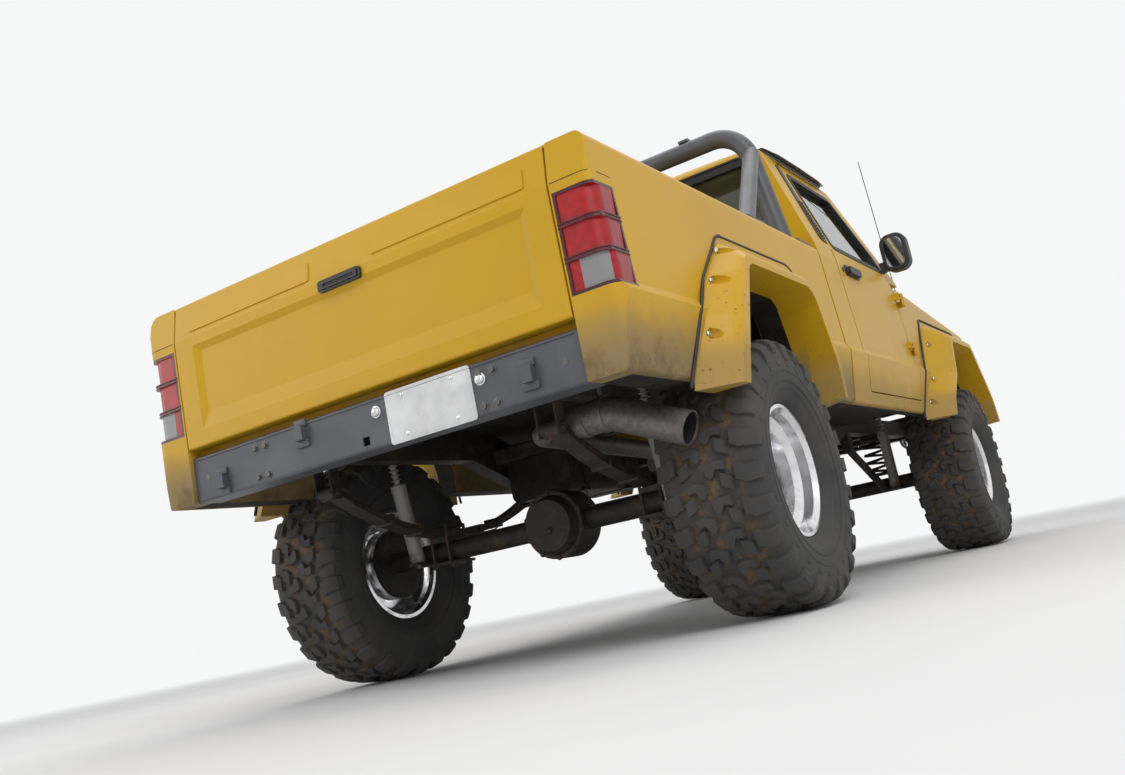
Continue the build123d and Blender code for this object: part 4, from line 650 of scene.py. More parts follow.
class Shape:
    """A mesh being built, in metres in the vehicle's frame."""

    def __init__(self) -> None:
        """Start with an empty mesh."""
        self.mesh = bmesh.new()

    def loft(self, rings: Sequence[Sequence[Spot]], closed: bool = False, capped: bool = True) -> "Shape":
        """Join rings of points with quads.

        Args:
            rings: Rings that each hold the same number of points.
            closed: The last ring joins the first.
            capped: The end rings are filled.

        Returns:
            This shape.
        """
        made = [[self.mesh.verts.new(p) for p in ring] for ring in rings]
        pairs = list(zip(made, made[1:])) + ([(made[-1], made[0])] if closed else [])
        for first, second in pairs:
            count = len(first)
            for i in range(count):
                j = (i + 1) % count
                self.mesh.faces.new((first[i], first[j], second[j], second[i]))
        if capped and not closed:
            self.mesh.faces.new(list(reversed(made[0])))
            self.mesh.faces.new(made[-1])
        return self

    def prism(self, outline: Sequence[Flat], axis: Axis, low: float, high: float) -> "Shape":
        """Extrude a flat outline along an axis.

        Args:
            outline: Corners in the plane across the axis.
            axis: Direction of the extrusion.
            low: Where it starts.
            high: Where it ends.

        Returns:
            This shape.
        """
        return self.loft([[axis.place(u, v, along) for u, v in outline] for along in (low, high)])

    def block(self, centre: Point, size: Point, turn: float = 0.0, axis: Axis = Axis.X) -> "Shape":
        """Add a box, turned about an axis through its centre.

        Args:
            centre: Its middle.
            size: Its lengths along x, y and z.
            turn: Turn in degrees.
            axis: The axis of that turn.

        Returns:
            This shape.
        """
        made = bmesh.ops.create_cube(self.mesh, size=1.0)["verts"]
        spin = Matrix.Rotation(math.radians(turn), 4, axis.name)
        move = Matrix.Translation(Vector(centre)) @ spin @ Matrix.Diagonal((*size, 1.0))
        bmesh.ops.transform(self.mesh, matrix=move, verts=made)
        return self

    def lathe(self, profile: Sequence[Flat], centre: Spot, way: Spot, segments: int = 32) -> "Shape":
        """Turn a closed profile about an axis.

        Args:
            profile: Points of (distance along the axis, radius).
            centre: A point on the axis.
            way: Direction of the axis.
            segments: Steps round it.

        Returns:
            This shape.
        """
        axis = Vector(way).normalized()
        across = axis.orthogonal().normalized()
        other = axis.cross(across)
        rings = []
        for angle in circle(segments):
            out = across * math.cos(angle) + other * math.sin(angle)
            rings.append([Vector(centre) + axis * a + out * r for a, r in profile])
        return self.loft(rings, closed=True)

    def tube(self, path: Sequence[Spot], radius: float, sides: int = 12, closed: bool = False) -> "Shape":
        """Run a round bar along a path.

        Args:
            path: Points of its middle line.
            radius: Its radius.
            sides: Sides of its section.
            closed: The path is a loop.

        Returns:
            This shape.
        """
        points = [Vector(p) for p in path]
        count = len(points)
        rings = []
        normal = None
        for i, point in enumerate(points):
            before = points[i - 1] if i or closed else point
            after = points[(i + 1) % count] if i < count - 1 or closed else point
            way = (after - before).normalized()
            normal = (way.orthogonal() if normal is None else normal - way * normal.dot(way)).normalized()
            other = way.cross(normal)
            rings.append([point + (normal * math.cos(a) + other * math.sin(a)) * radius
                          for a in circle(sides)])
        return self.loft(rings, closed=closed)

    def gasket(self, outline: list[Flat], spread: Flat, levels: Flat,
               place: Callable[[float, float, float], Point]) -> "Shape":
        """Run a flat strip round a closed outline.

        Args:
            outline: The line that it follows.
            spread: How far its outer and inner edges lie outside that line.
            levels: Its lower and upper surface, off what it lies on.
            place: Gives the point at (u, v, lift).

        Returns:
            This shape.
        """
        (outer, inner), (low, high) = spread, levels
        section = (outer, low), (outer, high), (inner, high), (inner, low)
        return self.loft([[place(u, v, lift) for u, v in grown(outline, shift)] for shift, lift in section],
                         closed=True)

    def bolt(self, centre: Spot, way: Spot, radius: float, height: float) -> "Shape":
        """Add a hexagon bolt head on a washer.

        Args:
            centre: Middle of the seat.
            way: Direction that the head points in.
            radius: Half the width over its corners.
            height: Height of the head.

        Returns:
            This shape.
        """
        self.lathe([(-height * 0.3, CORE), (-height * 0.3, radius * 1.5), (height * 0.15, radius * 1.5),
                    (height * 0.2, radius * 1.4), (height * 0.2, CORE)], centre, way, 20)
        return self.lathe([(0.0, CORE), (0.0, radius), (height * 0.85, radius), (height, radius * 0.82),
                           (height, CORE)], centre, way, 6)

    def dome(self, centre: Spot, way: Spot, radius: float, height: float) -> "Shape":
        """Add a round domed head.

        Args:
            centre: Middle of its seat.
            way: Direction that it points in.
            radius: Its radius.
            height: Its height.

        Returns:
            This shape.
        """
        curve = [(height * math.sin(a), radius * math.cos(a) + CORE) for a in (0.0, 0.4, 0.8, 1.2, 1.57)]
        return self.lathe([(-height * 0.4, CORE), (-height * 0.4, radius)] + curve, centre, way, 24)

    def round_off(self, width: float, steps: int = 2, angle: float = 35.0) -> "Shape":
        """Round the sharp edges.

        Args:
            width: Width of the rounding.
            steps: Faces across it.
            angle: Least angle in degrees of a sharp edge.

        Returns:
            This shape.
        """
        limit = math.radians(angle)
        bmesh.ops.recalc_face_normals(self.mesh, faces=self.mesh.faces)
        sharp = [e for e in self.mesh.edges if len(e.link_faces) == 2 and e.calc_face_angle(0.0) > limit]
        bmesh.ops.bevel(self.mesh, geom=sharp, offset=width, segments=steps, profile=0.6, affect="EDGES",
                        clamp_overlap=True)
        return self

    def mirrored(self) -> "Shape":
        """Add the mirror image on the vehicle's other side.

        Returns:
            This shape.
        """
        copy = bmesh.ops.duplicate(self.mesh, geom=list(self.mesh.verts) + list(self.mesh.edges)
                                   + list(self.mesh.faces))["geom"]
        for vert in (g for g in copy if isinstance(g, bmesh.types.BMVert)):
            vert.co.x = -vert.co.x
        return self

    def data(self, name: str) -> bpy.types.Mesh:
        """End this shape and hand its mesh over.

        Args:
            name: Name of the mesh.

        Returns:
            The mesh as data.
        """
        made = bpy.data.meshes.new(name)
        self.mesh.to_mesh(made)
        self.mesh.free()
        return made

    def piece(self, name: str, body: str, slot: str, finish: Finish, angle: float = 32.0) -> bpy.types.Object:
        """Make the object that shows this mesh.

        Args:
            name: Name of the piece.
            body: Moving body that it rides on.
            slot: Material slot of the record that it belongs to; not used.
            finish: Its finish.
            angle: Edges sharper than this, in degrees, stay crisp.

        Returns:
            The object.
        """
        bmesh.ops.remove_doubles(self.mesh, verts=self.mesh.verts, dist=0.00002)
        bmesh.ops.dissolve_degenerate(self.mesh, edges=self.mesh.edges, dist=0.00001)
        bmesh.ops.recalc_face_normals(self.mesh, faces=self.mesh.faces)
        data = self.data(name)
        data.polygons.foreach_set("use_smooth", [True] * len(data.polygons))
        data.set_sharp_from_angle(angle=math.radians(angle))
        data.materials.append(finish.material())
        made = show(name, data)
        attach(made, body)
        LOG.info("%s: %d faces on %s", name, len(data.polygons), body)
        return made


def dress(finish: Finish, *nodes: str) -> None:
    """Give carried-over nodes a finish.

    Args:
        finish: The finish.
        nodes: Names of the nodes.
    """
    for name in nodes:
        data = frame["nodes"][name].data
        data.materials.clear()
        data.materials.append(finish.material())


def side_at(z: float) -> float:
    """Find the half width of the body side.

    Args:
        z: Height above the ground.

    Returns:
        The half width at that height.
    """
    levels = SIDE_SECTION
    for (low, first), (high, second) in zip(levels, levels[1:]):
        if z <= high:
            share = max(0.0, (z - low) / (high - low))
            return first + (second - first) * share
    return levels[-1][1]


def rounded(corners: Outline, steps: int = 8, closed: bool = False) -> list[Flat]:
    """Round an outline's corners.

    Args:
        corners: Each corner's place and radius, in one unit.
        steps: Points on each rounded corner.
        closed: The outline is a loop.

    Returns:
        The points, with each square corner given steps times, so that two outlines match point by point.
    """
    count = len(corners)
    points: list[Flat] = []
    for i, (u, v, radius) in enumerate(corners):
        here = Vector((u, v))
        ends = not closed and i in (0, count - 1)
        if radius <= 0 or ends:
            points += [(u, v)] * steps
            continue
        before = (Vector(corners[i - 1][:2]) - here).normalized()
        after = (Vector(corners[(i + 1) % count][:2]) - here).normalized()
        half = before.angle(after) / 2
        reach = radius / math.tan(half)
        centre = here + (before + after).normalized() * (radius / math.sin(half))
        start = here + before * reach - centre
        turn = start.angle_signed(here + after * reach - centre)
        for k in range(steps):
            angle = -turn * k / (steps - 1)
            cos, sin = math.cos(angle), math.sin(angle)
            points.append((centre.x + start.x * cos - start.y * sin,
                           centre.y + start.x * sin + start.y * cos))
    return points


@dataclass
class Studio:
    """Pale floor, soft lights, background and the camera at the photograph's place."""

    eye: Point = (-2.0391, 4.5923, 0.1927)
    right: Point = (-0.82958, -0.52391, -0.19318)
    up: Point = (-0.25908, 0.05466, 0.96431)
    back: Point = (-0.49465, 0.85002, -0.18108)
    lens: float = 34.95
    sensor: float = 36.0
    floor_half: float = 60.0
    fade: Flat = (4.5, 13.0)
    ambient: float = 0.5
    backdrop: Colour = (0.93, 0.935, 0.94)
    aim: Point = (0.0, 0.3, 0.9)

    def camera(self) -> None:
        """Place the camera."""
        data = bpy.data.cameras.new("photo_camera")
        data.lens, data.sensor_width = self.lens, self.sensor
        made = show("photo_camera", data)
        made.matrix_world = Matrix([*zip(self.right, self.up, self.back, self.eye), (0.0, 0.0, 0.0, 1.0)])
        bpy.context.scene.camera = made

    def floor(self) -> None:
        """Lay the pale floor, which fades into the backdrop where the camera sees it far away."""
        shape, half = Shape(), self.floor_half
        shape.mesh.faces.new([shape.mesh.verts.new((u * half, v * half, 0.0))
                              for u, v in ((-1, -1), (1, -1), (1, 1), (-1, 1))])
        graph = Graph("pale_studio_floor")
        tone = graph.blend(graph.noise(0.8, 4.0).rise(0.3, 0.7), (0.80, 0.80, 0.80), (0.77, 0.77, 0.775))
        graph.set(Base_Color=tone, Roughness=0.9)
        reach = (graph.x ** 2.0 + graph.y ** 2.0) ** 0.5
        far = reach.rise(*self.fade) * graph.node("ShaderNodeLightPath", out="Is Camera Ray")
        near = Sock(graph, graph.shader.outputs[0])
        glow = graph.node("ShaderNodeEmission", None, {"Color": self.backdrop, "Strength": 1.0})
        mixed = graph.node("ShaderNodeMixShader", None, {0: far, 1: near, 2: glow})
        graph.feed(graph.nodes["Material Output"].inputs[0], mixed)
        data = shape.data("studio_floor")
        data.materials.append(graph.owner)
        show("studio_floor", data)

    def light(self, name: str, place: Point, size: float, power: float) -> None:
        """Hang one soft light that points at the truck's middle.

        Args:
            name: Its name.
            place: Its position.
            size: Side of its square.
            power: Its power in watts.
        """
        data = bpy.data.lights.new(name, "AREA")
        data.size, data.energy = size, power
        made = show(name, data)
        made.location = place
        made.rotation_euler = (Vector(self.aim) - Vector(place)).to_track_quat("-Z", "Y").to_euler()

    def world(self) -> None:
        """Set the soft ambient light and the pale background that camera and reflections see."""
        bpy.context.scene.world = bpy.data.worlds.new("studio_world")
        tree = Tree(bpy.context.scene.world)
        camera, glossy, through = (tree.node("ShaderNodeLightPath", out=f"Is {kind} Ray")
                                   for kind in ("Camera", "Glossy", "Transmission"))
        dim, bright = (tree.node("ShaderNodeBackground", None, {0: colour, 1: strength})
                       for colour, strength in (((1.0, 1.0, 1.0), self.ambient), (self.backdrop, 1.0)))
        seen = camera.most(glossy).most(through)
        mixed = tree.node("ShaderNodeMixShader", None, {0: seen, 1: dim, 2: bright})
        tree.feed(tree.nodes["World Output"].inputs[0], mixed)

    def build(self) -> None:
        """Set up the whole studio."""
        bpy.context.scene.view_settings.view_transform = "Standard"
        self.camera()
        self.floor()
        self.world()
        self.light("key_softbox", (-5.0, 5.5, 6.0), 5.0, 270.0)
        self.light("fill_softbox", (5.0, 5.0, 3.5), 5.0, 100.0)
        self.light("top_softbox", (0.0, -1.0, 7.0), 6.0, 170.0)
        self.light("low_softbox", (-3.0, 7.0, 0.6), 2.0, 14.0)


@dataclass(frozen=True)
class Corner:
    """One wheel: its name, its side (1 is the left) and its axle's place."""

    name: str
    side: int
    y: float

    @property
    def body(self) -> str:
        """Name of its moving body."""
        return f"wheel_{self.name}"


@dataclass
class Wheels:
    """Mud tyres with blocks and shoulder lugs, and the polished rims' small parts."""

    corners: tuple[Corner, ...] = (
        Corner("front_left", 1, FRONT_AXLE_Y), Corner("front_right", -1, FRONT_AXLE_Y),
        Corner("rear_left", 1, REAR_AXLE_Y), Corner("rear_right", -1, REAR_AXLE_Y))
    pitches: int = 26
    tip: float = 0.4186
    lug_height: float = 0.0142
    taper: float = 0.0022
    lip: float = 0.0016
    root: float = -0.002
    ring_steps: int = 180
    ridges: tuple[float, ...] = (0.232, 0.262, 0.266)
    ridge_radius: float = 0.0018
    nuts: int = 5
    nut_circle: float = 0.057
    nut_turn: float = 0.3
    nut: Flats = ((-0.002, CORE), (-0.002, 0.0125), (0.004, 0.0125), (0.005, 0.0105),
                  (0.024, 0.0105), (0.029, 0.006), (0.030, CORE))
    cap: Flats = ((0.0, 0.035), (0.0, 0.040), (0.006, 0.040), (0.009, 0.036), (0.009, 0.035))
    valve: Flats = ((0.0, CORE), (0.0, 0.006), (0.006, 0.006), (0.008, 0.0038), (0.028, 0.0038),
                    (0.030, 0.0025), (0.030, CORE))

    def crown(self) -> list[Flat]:
        """Draw half the carcass, from the tread's middle to the bead.

        Returns:
            Its points as (across, radius).
        """
        base = self.tip - self.lug_height
        return [(0.0, base), (0.04, base - 0.0006), (0.08, base - 0.0022), (0.11, base - 0.0048),
                (0.130, base - 0.009), (0.142, base - 0.017), (0.149, base - 0.030), (0.1535, 0.352),
                (0.1575, 0.325), (0.1585, 0.300), (0.1560, 0.275), (0.1515, 0.258), (0.1490, 0.252),
                (0.1465, 0.250), (0.1400, 0.238), (0.1310, 0.224), (0.1215, 0.2145), (0.1170, 0.2120)]

    def along(self, reach: float, height: float) -> Flat:
        """Find a point over the carcass.

        Args:
            reach: Distance over the surface from the tread's middle.
            height: Height above the surface.

        Returns:
            The point as (across, radius).
        """
        points = self.crown()
        walked = 0.0
        for (x0, r0), (x1, r1) in zip(points, points[1:]):
            step = math.hypot(x1 - x0, r1 - r0)
            if reach <= walked + step:
                share = (reach - walked) / step
                nx, nr = (r0 - r1) / step, (x1 - x0) / step
                return (x0 + (x1 - x0) * share + nx * height, r0 + (r1 - r0) * share + nr * height)
            walked += step
        return points[-1]

    def lug(self, shape: Shape, side: int, start: float, rows: Rows) -> None:
        """Add one lug as a strip over the carcass.

        Args:
            shape: The tyre's mesh.
            side: 1 for the outer half, -1 for the inner.
            start: Angle of the lug's own zero, in radians.
            rows: Stations of (reach, low edge, high edge, height); edges in metres round the tyre.
        """
        rings = []
        taper, lip, last = self.taper, self.lip, len(rows) - 1
        for i, (reach, low, high, height) in enumerate(rows):
            row = []
            nudge = taper if i == 0 else -taper if i == last else 0.0
            for edge, spread, level, shift in (
                (low, -taper, self.root, -nudge), (low, 0.0, height - lip, 0.0),
                (low, lip, height, nudge * 0.7), (high, -lip, height, nudge * 0.7),
                (high, 0.0, height - lip, 0.0), (high, taper, self.root, -nudge)):
                across, radius = self.along(max(0.0, reach + shift), level)
                angle = start + (edge + spread) / self.tip
                row.append((side * across, radius * math.cos(angle), radius * math.sin(angle)))
            rings.append(row)
        shape.loft(rings)

    def tread(self, shape: Shape) -> None:
        """Add every lug, from the shoulder's to the sidewall's bars, and the sidewall's ridges.

        Args:
            shape: The tyre's mesh.
        """
        top = self.lug_height
        for side in (1, -1):
            for i in range(self.pitches):
                start = (i + (0.5 if side < 0 else 0.0)) * 2 * math.pi / self.pitches
                foot = 0.174 if i % 2 else 0.192
                self.lug(shape, side, start, [
                    (0.088, -0.030, 0.018, top), (0.102, -0.030, 0.022, top), (0.112, -0.022, 0.030, top),
                    (0.132, -0.020, 0.031, top), (0.146, -0.019, 0.030, top * 0.95),
                    (0.160, -0.018, 0.028, top * 0.7), (foot, -0.016, 0.024, 0.004)])
                self.lug(shape, side, start, [
                    (0.044, -0.012, 0.026, top), (0.056, -0.006, 0.036, top), (0.064, -0.002, 0.038, top),
                    (0.078, 0.006, 0.044, top)])
                self.lug(shape, side, start, [
                    (0.003, -0.034, -0.010, top), (0.014, -0.040, 0.004, top), (0.024, -0.044, 0.000, top),
                    (0.036, -0.046, -0.022, top), (0.062, -0.044, -0.016, top)])
                self.lug(shape, side, start + 0.031, [
                    (0.200, -0.014, 0.012, 0.0006), (0.203, -0.014, 0.012, 0.0026),
                    (0.216, -0.012, 0.010, 0.0026), (0.219, -0.012, 0.010, 0.0006)])
            for reach in self.ridges:
                across, radius = self.along(reach, 0.0)
                shape.lathe([(side * across + self.ridge_radius * math.cos(a) * side,
                              radius + self.ridge_radius * math.sin(a)) for a in circle(8)],
                            (0, 0, 0), (1, 0, 0), self.ring_steps)

    def tyre(self, corner: Corner) -> None:
        """Build one tyre in place of its plain solid.

        Args:
            corner: The wheel.
        """
        shape, half = Shape(), self.crown()
        bead = [(0.101, 0.206), (0.101, 0.1915)]
        inside = [(-a, r) for a, r in reversed(half[1:] + bead)]
        shape.lathe(inside + half + bead, (0, 0, 0), (1, 0, 0), self.ring_steps)
        self.tread(shape)
        move = (Matrix.Translation((corner.side * WHEEL_X, corner.y, AXLE_Z))
                @ Matrix.Rotation(0.0 if corner.side > 0 else math.pi, 4, "Z"))
        bmesh.ops.transform(shape.mesh, matrix=move, verts=shape.mesh.verts)
        made = shape.piece(f"mud_tyre_{corner.name}", corner.body, "tyre_rubber", TYRE, 28.0)
        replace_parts(made, f"tyre_{corner.name}")

    def small_parts(self, corner: Corner) -> None:
        """Add the wheel nuts, the cap's ring and the valve.

        Args:
            corner: The wheel.
        """
        side, y = corner.side, corner.y
        x, way = side * WHEEL_X, (side, 0, 0)
        face = x - side * 0.016
        shape = Shape()
        for angle in (a + self.nut_turn for a in circle(self.nuts)):
            shape.lathe(self.nut, (face, y + self.nut_circle * math.cos(angle),
                                   AXLE_Z + self.nut_circle * math.sin(angle)), way, 6)
        shape.lathe(self.cap, (face, y, AXLE_Z), way, 40)
        shape.lathe(self.valve, (x + side * 0.072, y + 0.118, AXLE_Z + 0.131),
                    (side * 0.8, -0.35, -0.4), 14)
        shape.piece(f"wheel_nuts_{corner.name}", corner.body, "wheel_alloy", ZINC)

    def build(self) -> None:
        """Build all four corners."""
        for corner in self.corners:
            self.tyre(corner)
            self.small_parts(corner)
            dress(ALLOY, f"rim_{corner.name}")


@dataclass
class Flares:
    """Pocket flares: rubber seal along the body and a bolt in each pocket."""

    pocket_floor: float = 0.014
    seal_radius: float = 0.0055
    seal_lift: float = 0.001
    lowest: float = 0.660
    top: float = 1.06
    sunk: float = 0.0035
    sunk_before: float = 0.06
    least_step: float = 0.002

    def edge(self, seal: Outline, axle_y: float) -> list[Vector]:
        """Find the line where a flare meets the body.

        Args:
            seal: Outline of the flare's root, in millimetres from the axle and the ground.
            axle_y: The axle's place along the vehicle.

        Returns:
            Points along the line, on the left side, without any that nearly repeat.
        """
        kept: list[Vector] = []
        for along, height in ((u * MM, v * MM) for u, v in rounded(seal, 10)):
            z = max(height, self.lowest)
            sunk = self.sunk if z > self.top and along < self.sunk_before else 0.0
            point = Vector((side_at(z) + self.seal_lift - sunk, axle_y + along, z))
            if not kept or (point - kept[-1]).length > self.least_step:
                kept.append(point)
        return kept

    def build(self) -> None:
        """Dress the flares and add their seals and bolts."""
        dress(FLARE_PAINT, "front_flares", "rear_flares")
        for name, axle_y, seal, pockets in (("rear", REAR_AXLE_Y, REAR_SEAL, REAR_POCKETS),
                                            ("front", FRONT_AXLE_Y, FRONT_SEAL, FRONT_POCKETS)):
            shape = Shape().tube(self.edge(seal, axle_y), self.seal_radius, 10).mirrored()
            shape.piece(f"{name}_flare_seals", BODY, "black_plastic", RUBBER, 60.0)
            shape = Shape()
            for along, z in pockets:
                place = (side_at(z * MM) + self.pocket_floor, axle_y + along * MM, z * MM)
                shape.bolt(place, (1, 0, 0), 0.0085, 0.006)
            shape.mirrored().piece(f"{name}_flare_bolts", BODY, "flare_paint", ZINC)


@dataclass
class TailLamps:
    """Tail lamps with two pairs of ribs round the corner, and a painted shadow line along the bed corner's
    crease above them.
    """

    inner: float = 0.747
    front: float = 2.118
    rear: float = 2.234
    corner: float = 0.046
    corner_x: float = 0.834
    corner_steps: int = 8
    ribs: tuple[float, ...] = (1.0025, 1.0125, 1.0955, 1.1055)
    rib_radius: float = 0.0026
    crease: float = 1.2205

    def path(self, z: float, lift: float) -> list[Point]:
        """Return the lamp's outline at a height, from its inner edge round to the side.

        Args:
            z: The height.
            lift: How far outside the lens it lies.

        Returns:
            The points on the left side.
        """
        side, reach, middle = side_at(z) + lift, self.corner + lift, self.rear - self.corner
        points: list[Point] = [(self.inner, self.rear + lift, z), (self.corner_x, self.rear + lift, z)]
        for k in range(1, self.corner_steps + 1):
            angle = math.pi / 2 * (1 - k / self.corner_steps)
            x = self.corner_x + reach * math.cos(angle)
            if x < side:
                points.append((x, middle + reach * math.sin(angle), z))
        return points + [(side, min(points[-1][1] - 0.004, middle), z), (side, self.front, z)]

    def build(self) -> None:
        """Dress the lenses and add the paired ribs and the crease's painted shadow line."""
        dress(LENS_RED, "tail_lamps")
        shape = Shape()
        for z in self.ribs:
            shape.tube(self.path(z, 0.0006), self.rib_radius, 8)
        shape.mirrored().piece("tail_lamp_ribs", BODY, "lamp_red", BEZEL, 50.0)
        # Painted shadow: a thin black tube sunk along the crease stands in for the crease's shade
        shape = Shape().tube(self.path(self.crease, -0.0004), 0.0014, 6).mirrored()
        shape.piece("bed_corner_creases", BODY, "body_paint", RUBBER)


def glass_side(z: float) -> float:
    """Return the half width of the cab's leaning side at a height above the belt."""
    return 0.850 - (z - 1.372) * 0.3239


def on_cab_back(x: float, z: float, lift: float) -> Point:
    """Return the point at (x, z) on the cab's rear wall, which leans above the belt, lifted off it."""
    return (x, 0.338 - max(0.0, z - 1.400) * 0.1532 + lift, z)


def on_windshield(u: float, v: float, lift: float) -> Point:
    """Return the point at (u, v) on the windshield, lifted off it."""
    return (u, -0.7415 + v * 0.4734 - lift * 0.8809, 1.629 + v * 0.8809 + lift * 0.4734)


def grown(points: list[Flat], distance: float) -> list[Flat]:
    """Move a closed outline outwards.

    Args:
        points: The outline.
        distance: How far; below 0 is inwards.

    Returns:
        The moved outline.
    """
    area = sum(u0 * v1 - u1 * v0 for (u0, v0), (u1, v1) in zip(points, points[1:] + points[:1]))
    reach = distance if area > 0 else -distance
    moved = []
    for i, (u, v) in enumerate(points):
        way = (Vector(points[(i + 1) % len(points)]) - Vector(points[i - 1])).normalized()
        moved.append((u + reach * way.y, v - reach * way.x))
    return moved


@dataclass
class Glazing:
    """Rubber window frames, pillar louvres, rain rails over the doors and wipers."""

    door_window: Outline = ((-0.700, 1.385, 0.03), (0.065, 1.385, 0.03), (0.045, 1.782, 0.04),
                            (-0.532, 1.782, 0.04), (-0.700, 1.480, 0.04))
    rear_window: Outline = ((0.735, 1.440, 0.04), (0.640, 1.826, 0.06), (-0.640, 1.826, 0.06),
                            (-0.735, 1.440, 0.04))
    windshield: Outline = ((0.700, -0.240, 0.04), (0.600, 0.225, 0.05), (-0.600, 0.225, 0.05),
                           (-0.700, -0.240, 0.04))
    strip: Outline = ((0.120, 1.394, 0.008), (0.200, 1.402, 0.030), (0.142, 1.806, 0.010),
                      (0.101, 1.806, 0.003))
    rail: Flats = ((-0.585, 0.1), (-0.54, 0.55), (-0.42, 0.9), (-0.15, 1.0), (0.1, 0.85), (0.189, 0.35))
    wiper_arm: Outline = ((0.0, -0.262, 0.004), (0.0, -0.258, 0.020), (0.12, -0.20, 0.022),
                          (0.24, -0.145, 0.014))
    wiper_blade: Outline = ((0.03, -0.212, 0.010), (0.24, -0.150, 0.012), (0.45, -0.085, 0.010))
    louvres_each: int = 15
    louvre_low: float = 1.420
    louvre_gap: float = 0.013
    rail_reach: Flat = (0.044, 0.026)
    wipers_at: Flat = (-0.42, 0.16)

    def windows(self) -> None:
        """Frame every window in rubber."""
        for side, body in DOORS:
            shape = Shape().gasket(rounded(self.door_window, 8, True), (0.005, -0.020), (-0.032, 0.003),
                                   lambda y, z, lift, s=side: (s * (glass_side(z) + lift), y, z))
            shape.piece(f"{body}_window_rubber", body, "black_plastic", RUBBER)
        shape = Shape()
        for outline, spread, levels, place in (
            (self.rear_window, (0.020, -0.022), (-0.030, 0.004), on_cab_back),
            (self.rear_window, (0.020, 0.012), (-0.002, 0.008), on_cab_back),
            (self.windshield, (0.014, -0.018), (-0.028, 0.004), on_windshield)):
            shape.gasket(rounded(outline, 10, True), spread, levels, place)
        shape.piece("cab_window_rubbers", BODY, "black_plastic", RUBBER)

    def louvres(self) -> None:
        """Add the ribbed black strip on each rear pillar."""
        shape, strip = Shape(), rounded(self.strip, 6, True)
        for low, high, shrink in ((-0.006, 0.003, 0.0), (0.003, 0.0045, -0.004)):
            shape.loft([[(glass_side(z) + lift, y, z) for y, z in grown(strip, shift)]
                        for lift, shift in ((low, shrink), (high, shrink - 0.0008))])
        for k in range(self.louvres_each):
            z = self.louvre_low + self.louvre_gap * k
            front, rear = 0.127 - (z - 1.4) * 0.05, 0.186 - (z - 1.4) * 0.13
            place = (glass_side(z) + 0.0045, (front + rear) / 2, z)
            shape.block(place, (0.007, rear - front, 0.0055), 25.0, Axis.Y)
        shape.mirrored().piece("pillar_louvres", BODY, "black_plastic", PLASTIC)

    def rain_rails(self) -> None:
        """Add the smoked strip along each side of the roof."""
        rings = []
        for y, share in self.rail:
            out, down = self.rail_reach[0] * share, self.rail_reach[1] * share
            rings.append([(x, y, z) for x, z in (
                (0.664, 1.880), (0.688, 1.880), (0.690 + out, 1.8745 - down), (0.690 + out, 1.8705 - down),
                (0.688, 1.874), (0.680, 1.866))])
        Shape().loft(rings).mirrored().piece("roof_rain_rails", BODY, "black_plastic", VISOR)

    def wipers(self) -> None:
        """Add both wipers."""
        shape = Shape()
        for u in self.wipers_at:
            for line, radius, sides in ((self.wiper_arm, 0.0045, 8), (self.wiper_blade, 0.0055, 6)):
                shape.tube([on_windshield(u + du, v, lift) for du, v, lift in line], radius, sides)
            shape.lathe([(0.0, CORE), (0.0, 0.013), (0.012, 0.011), (0.012, CORE)],
                        on_windshield(u, -0.262, 0.0), (0, -0.88, 0.47), 16)
        shape.piece("wipers", BODY, "black_plastic", PLASTIC)

    def build(self) -> None:
        """Build all of it."""
        self.windows()
        self.louvres()
        self.rain_rails()
        self.wipers()


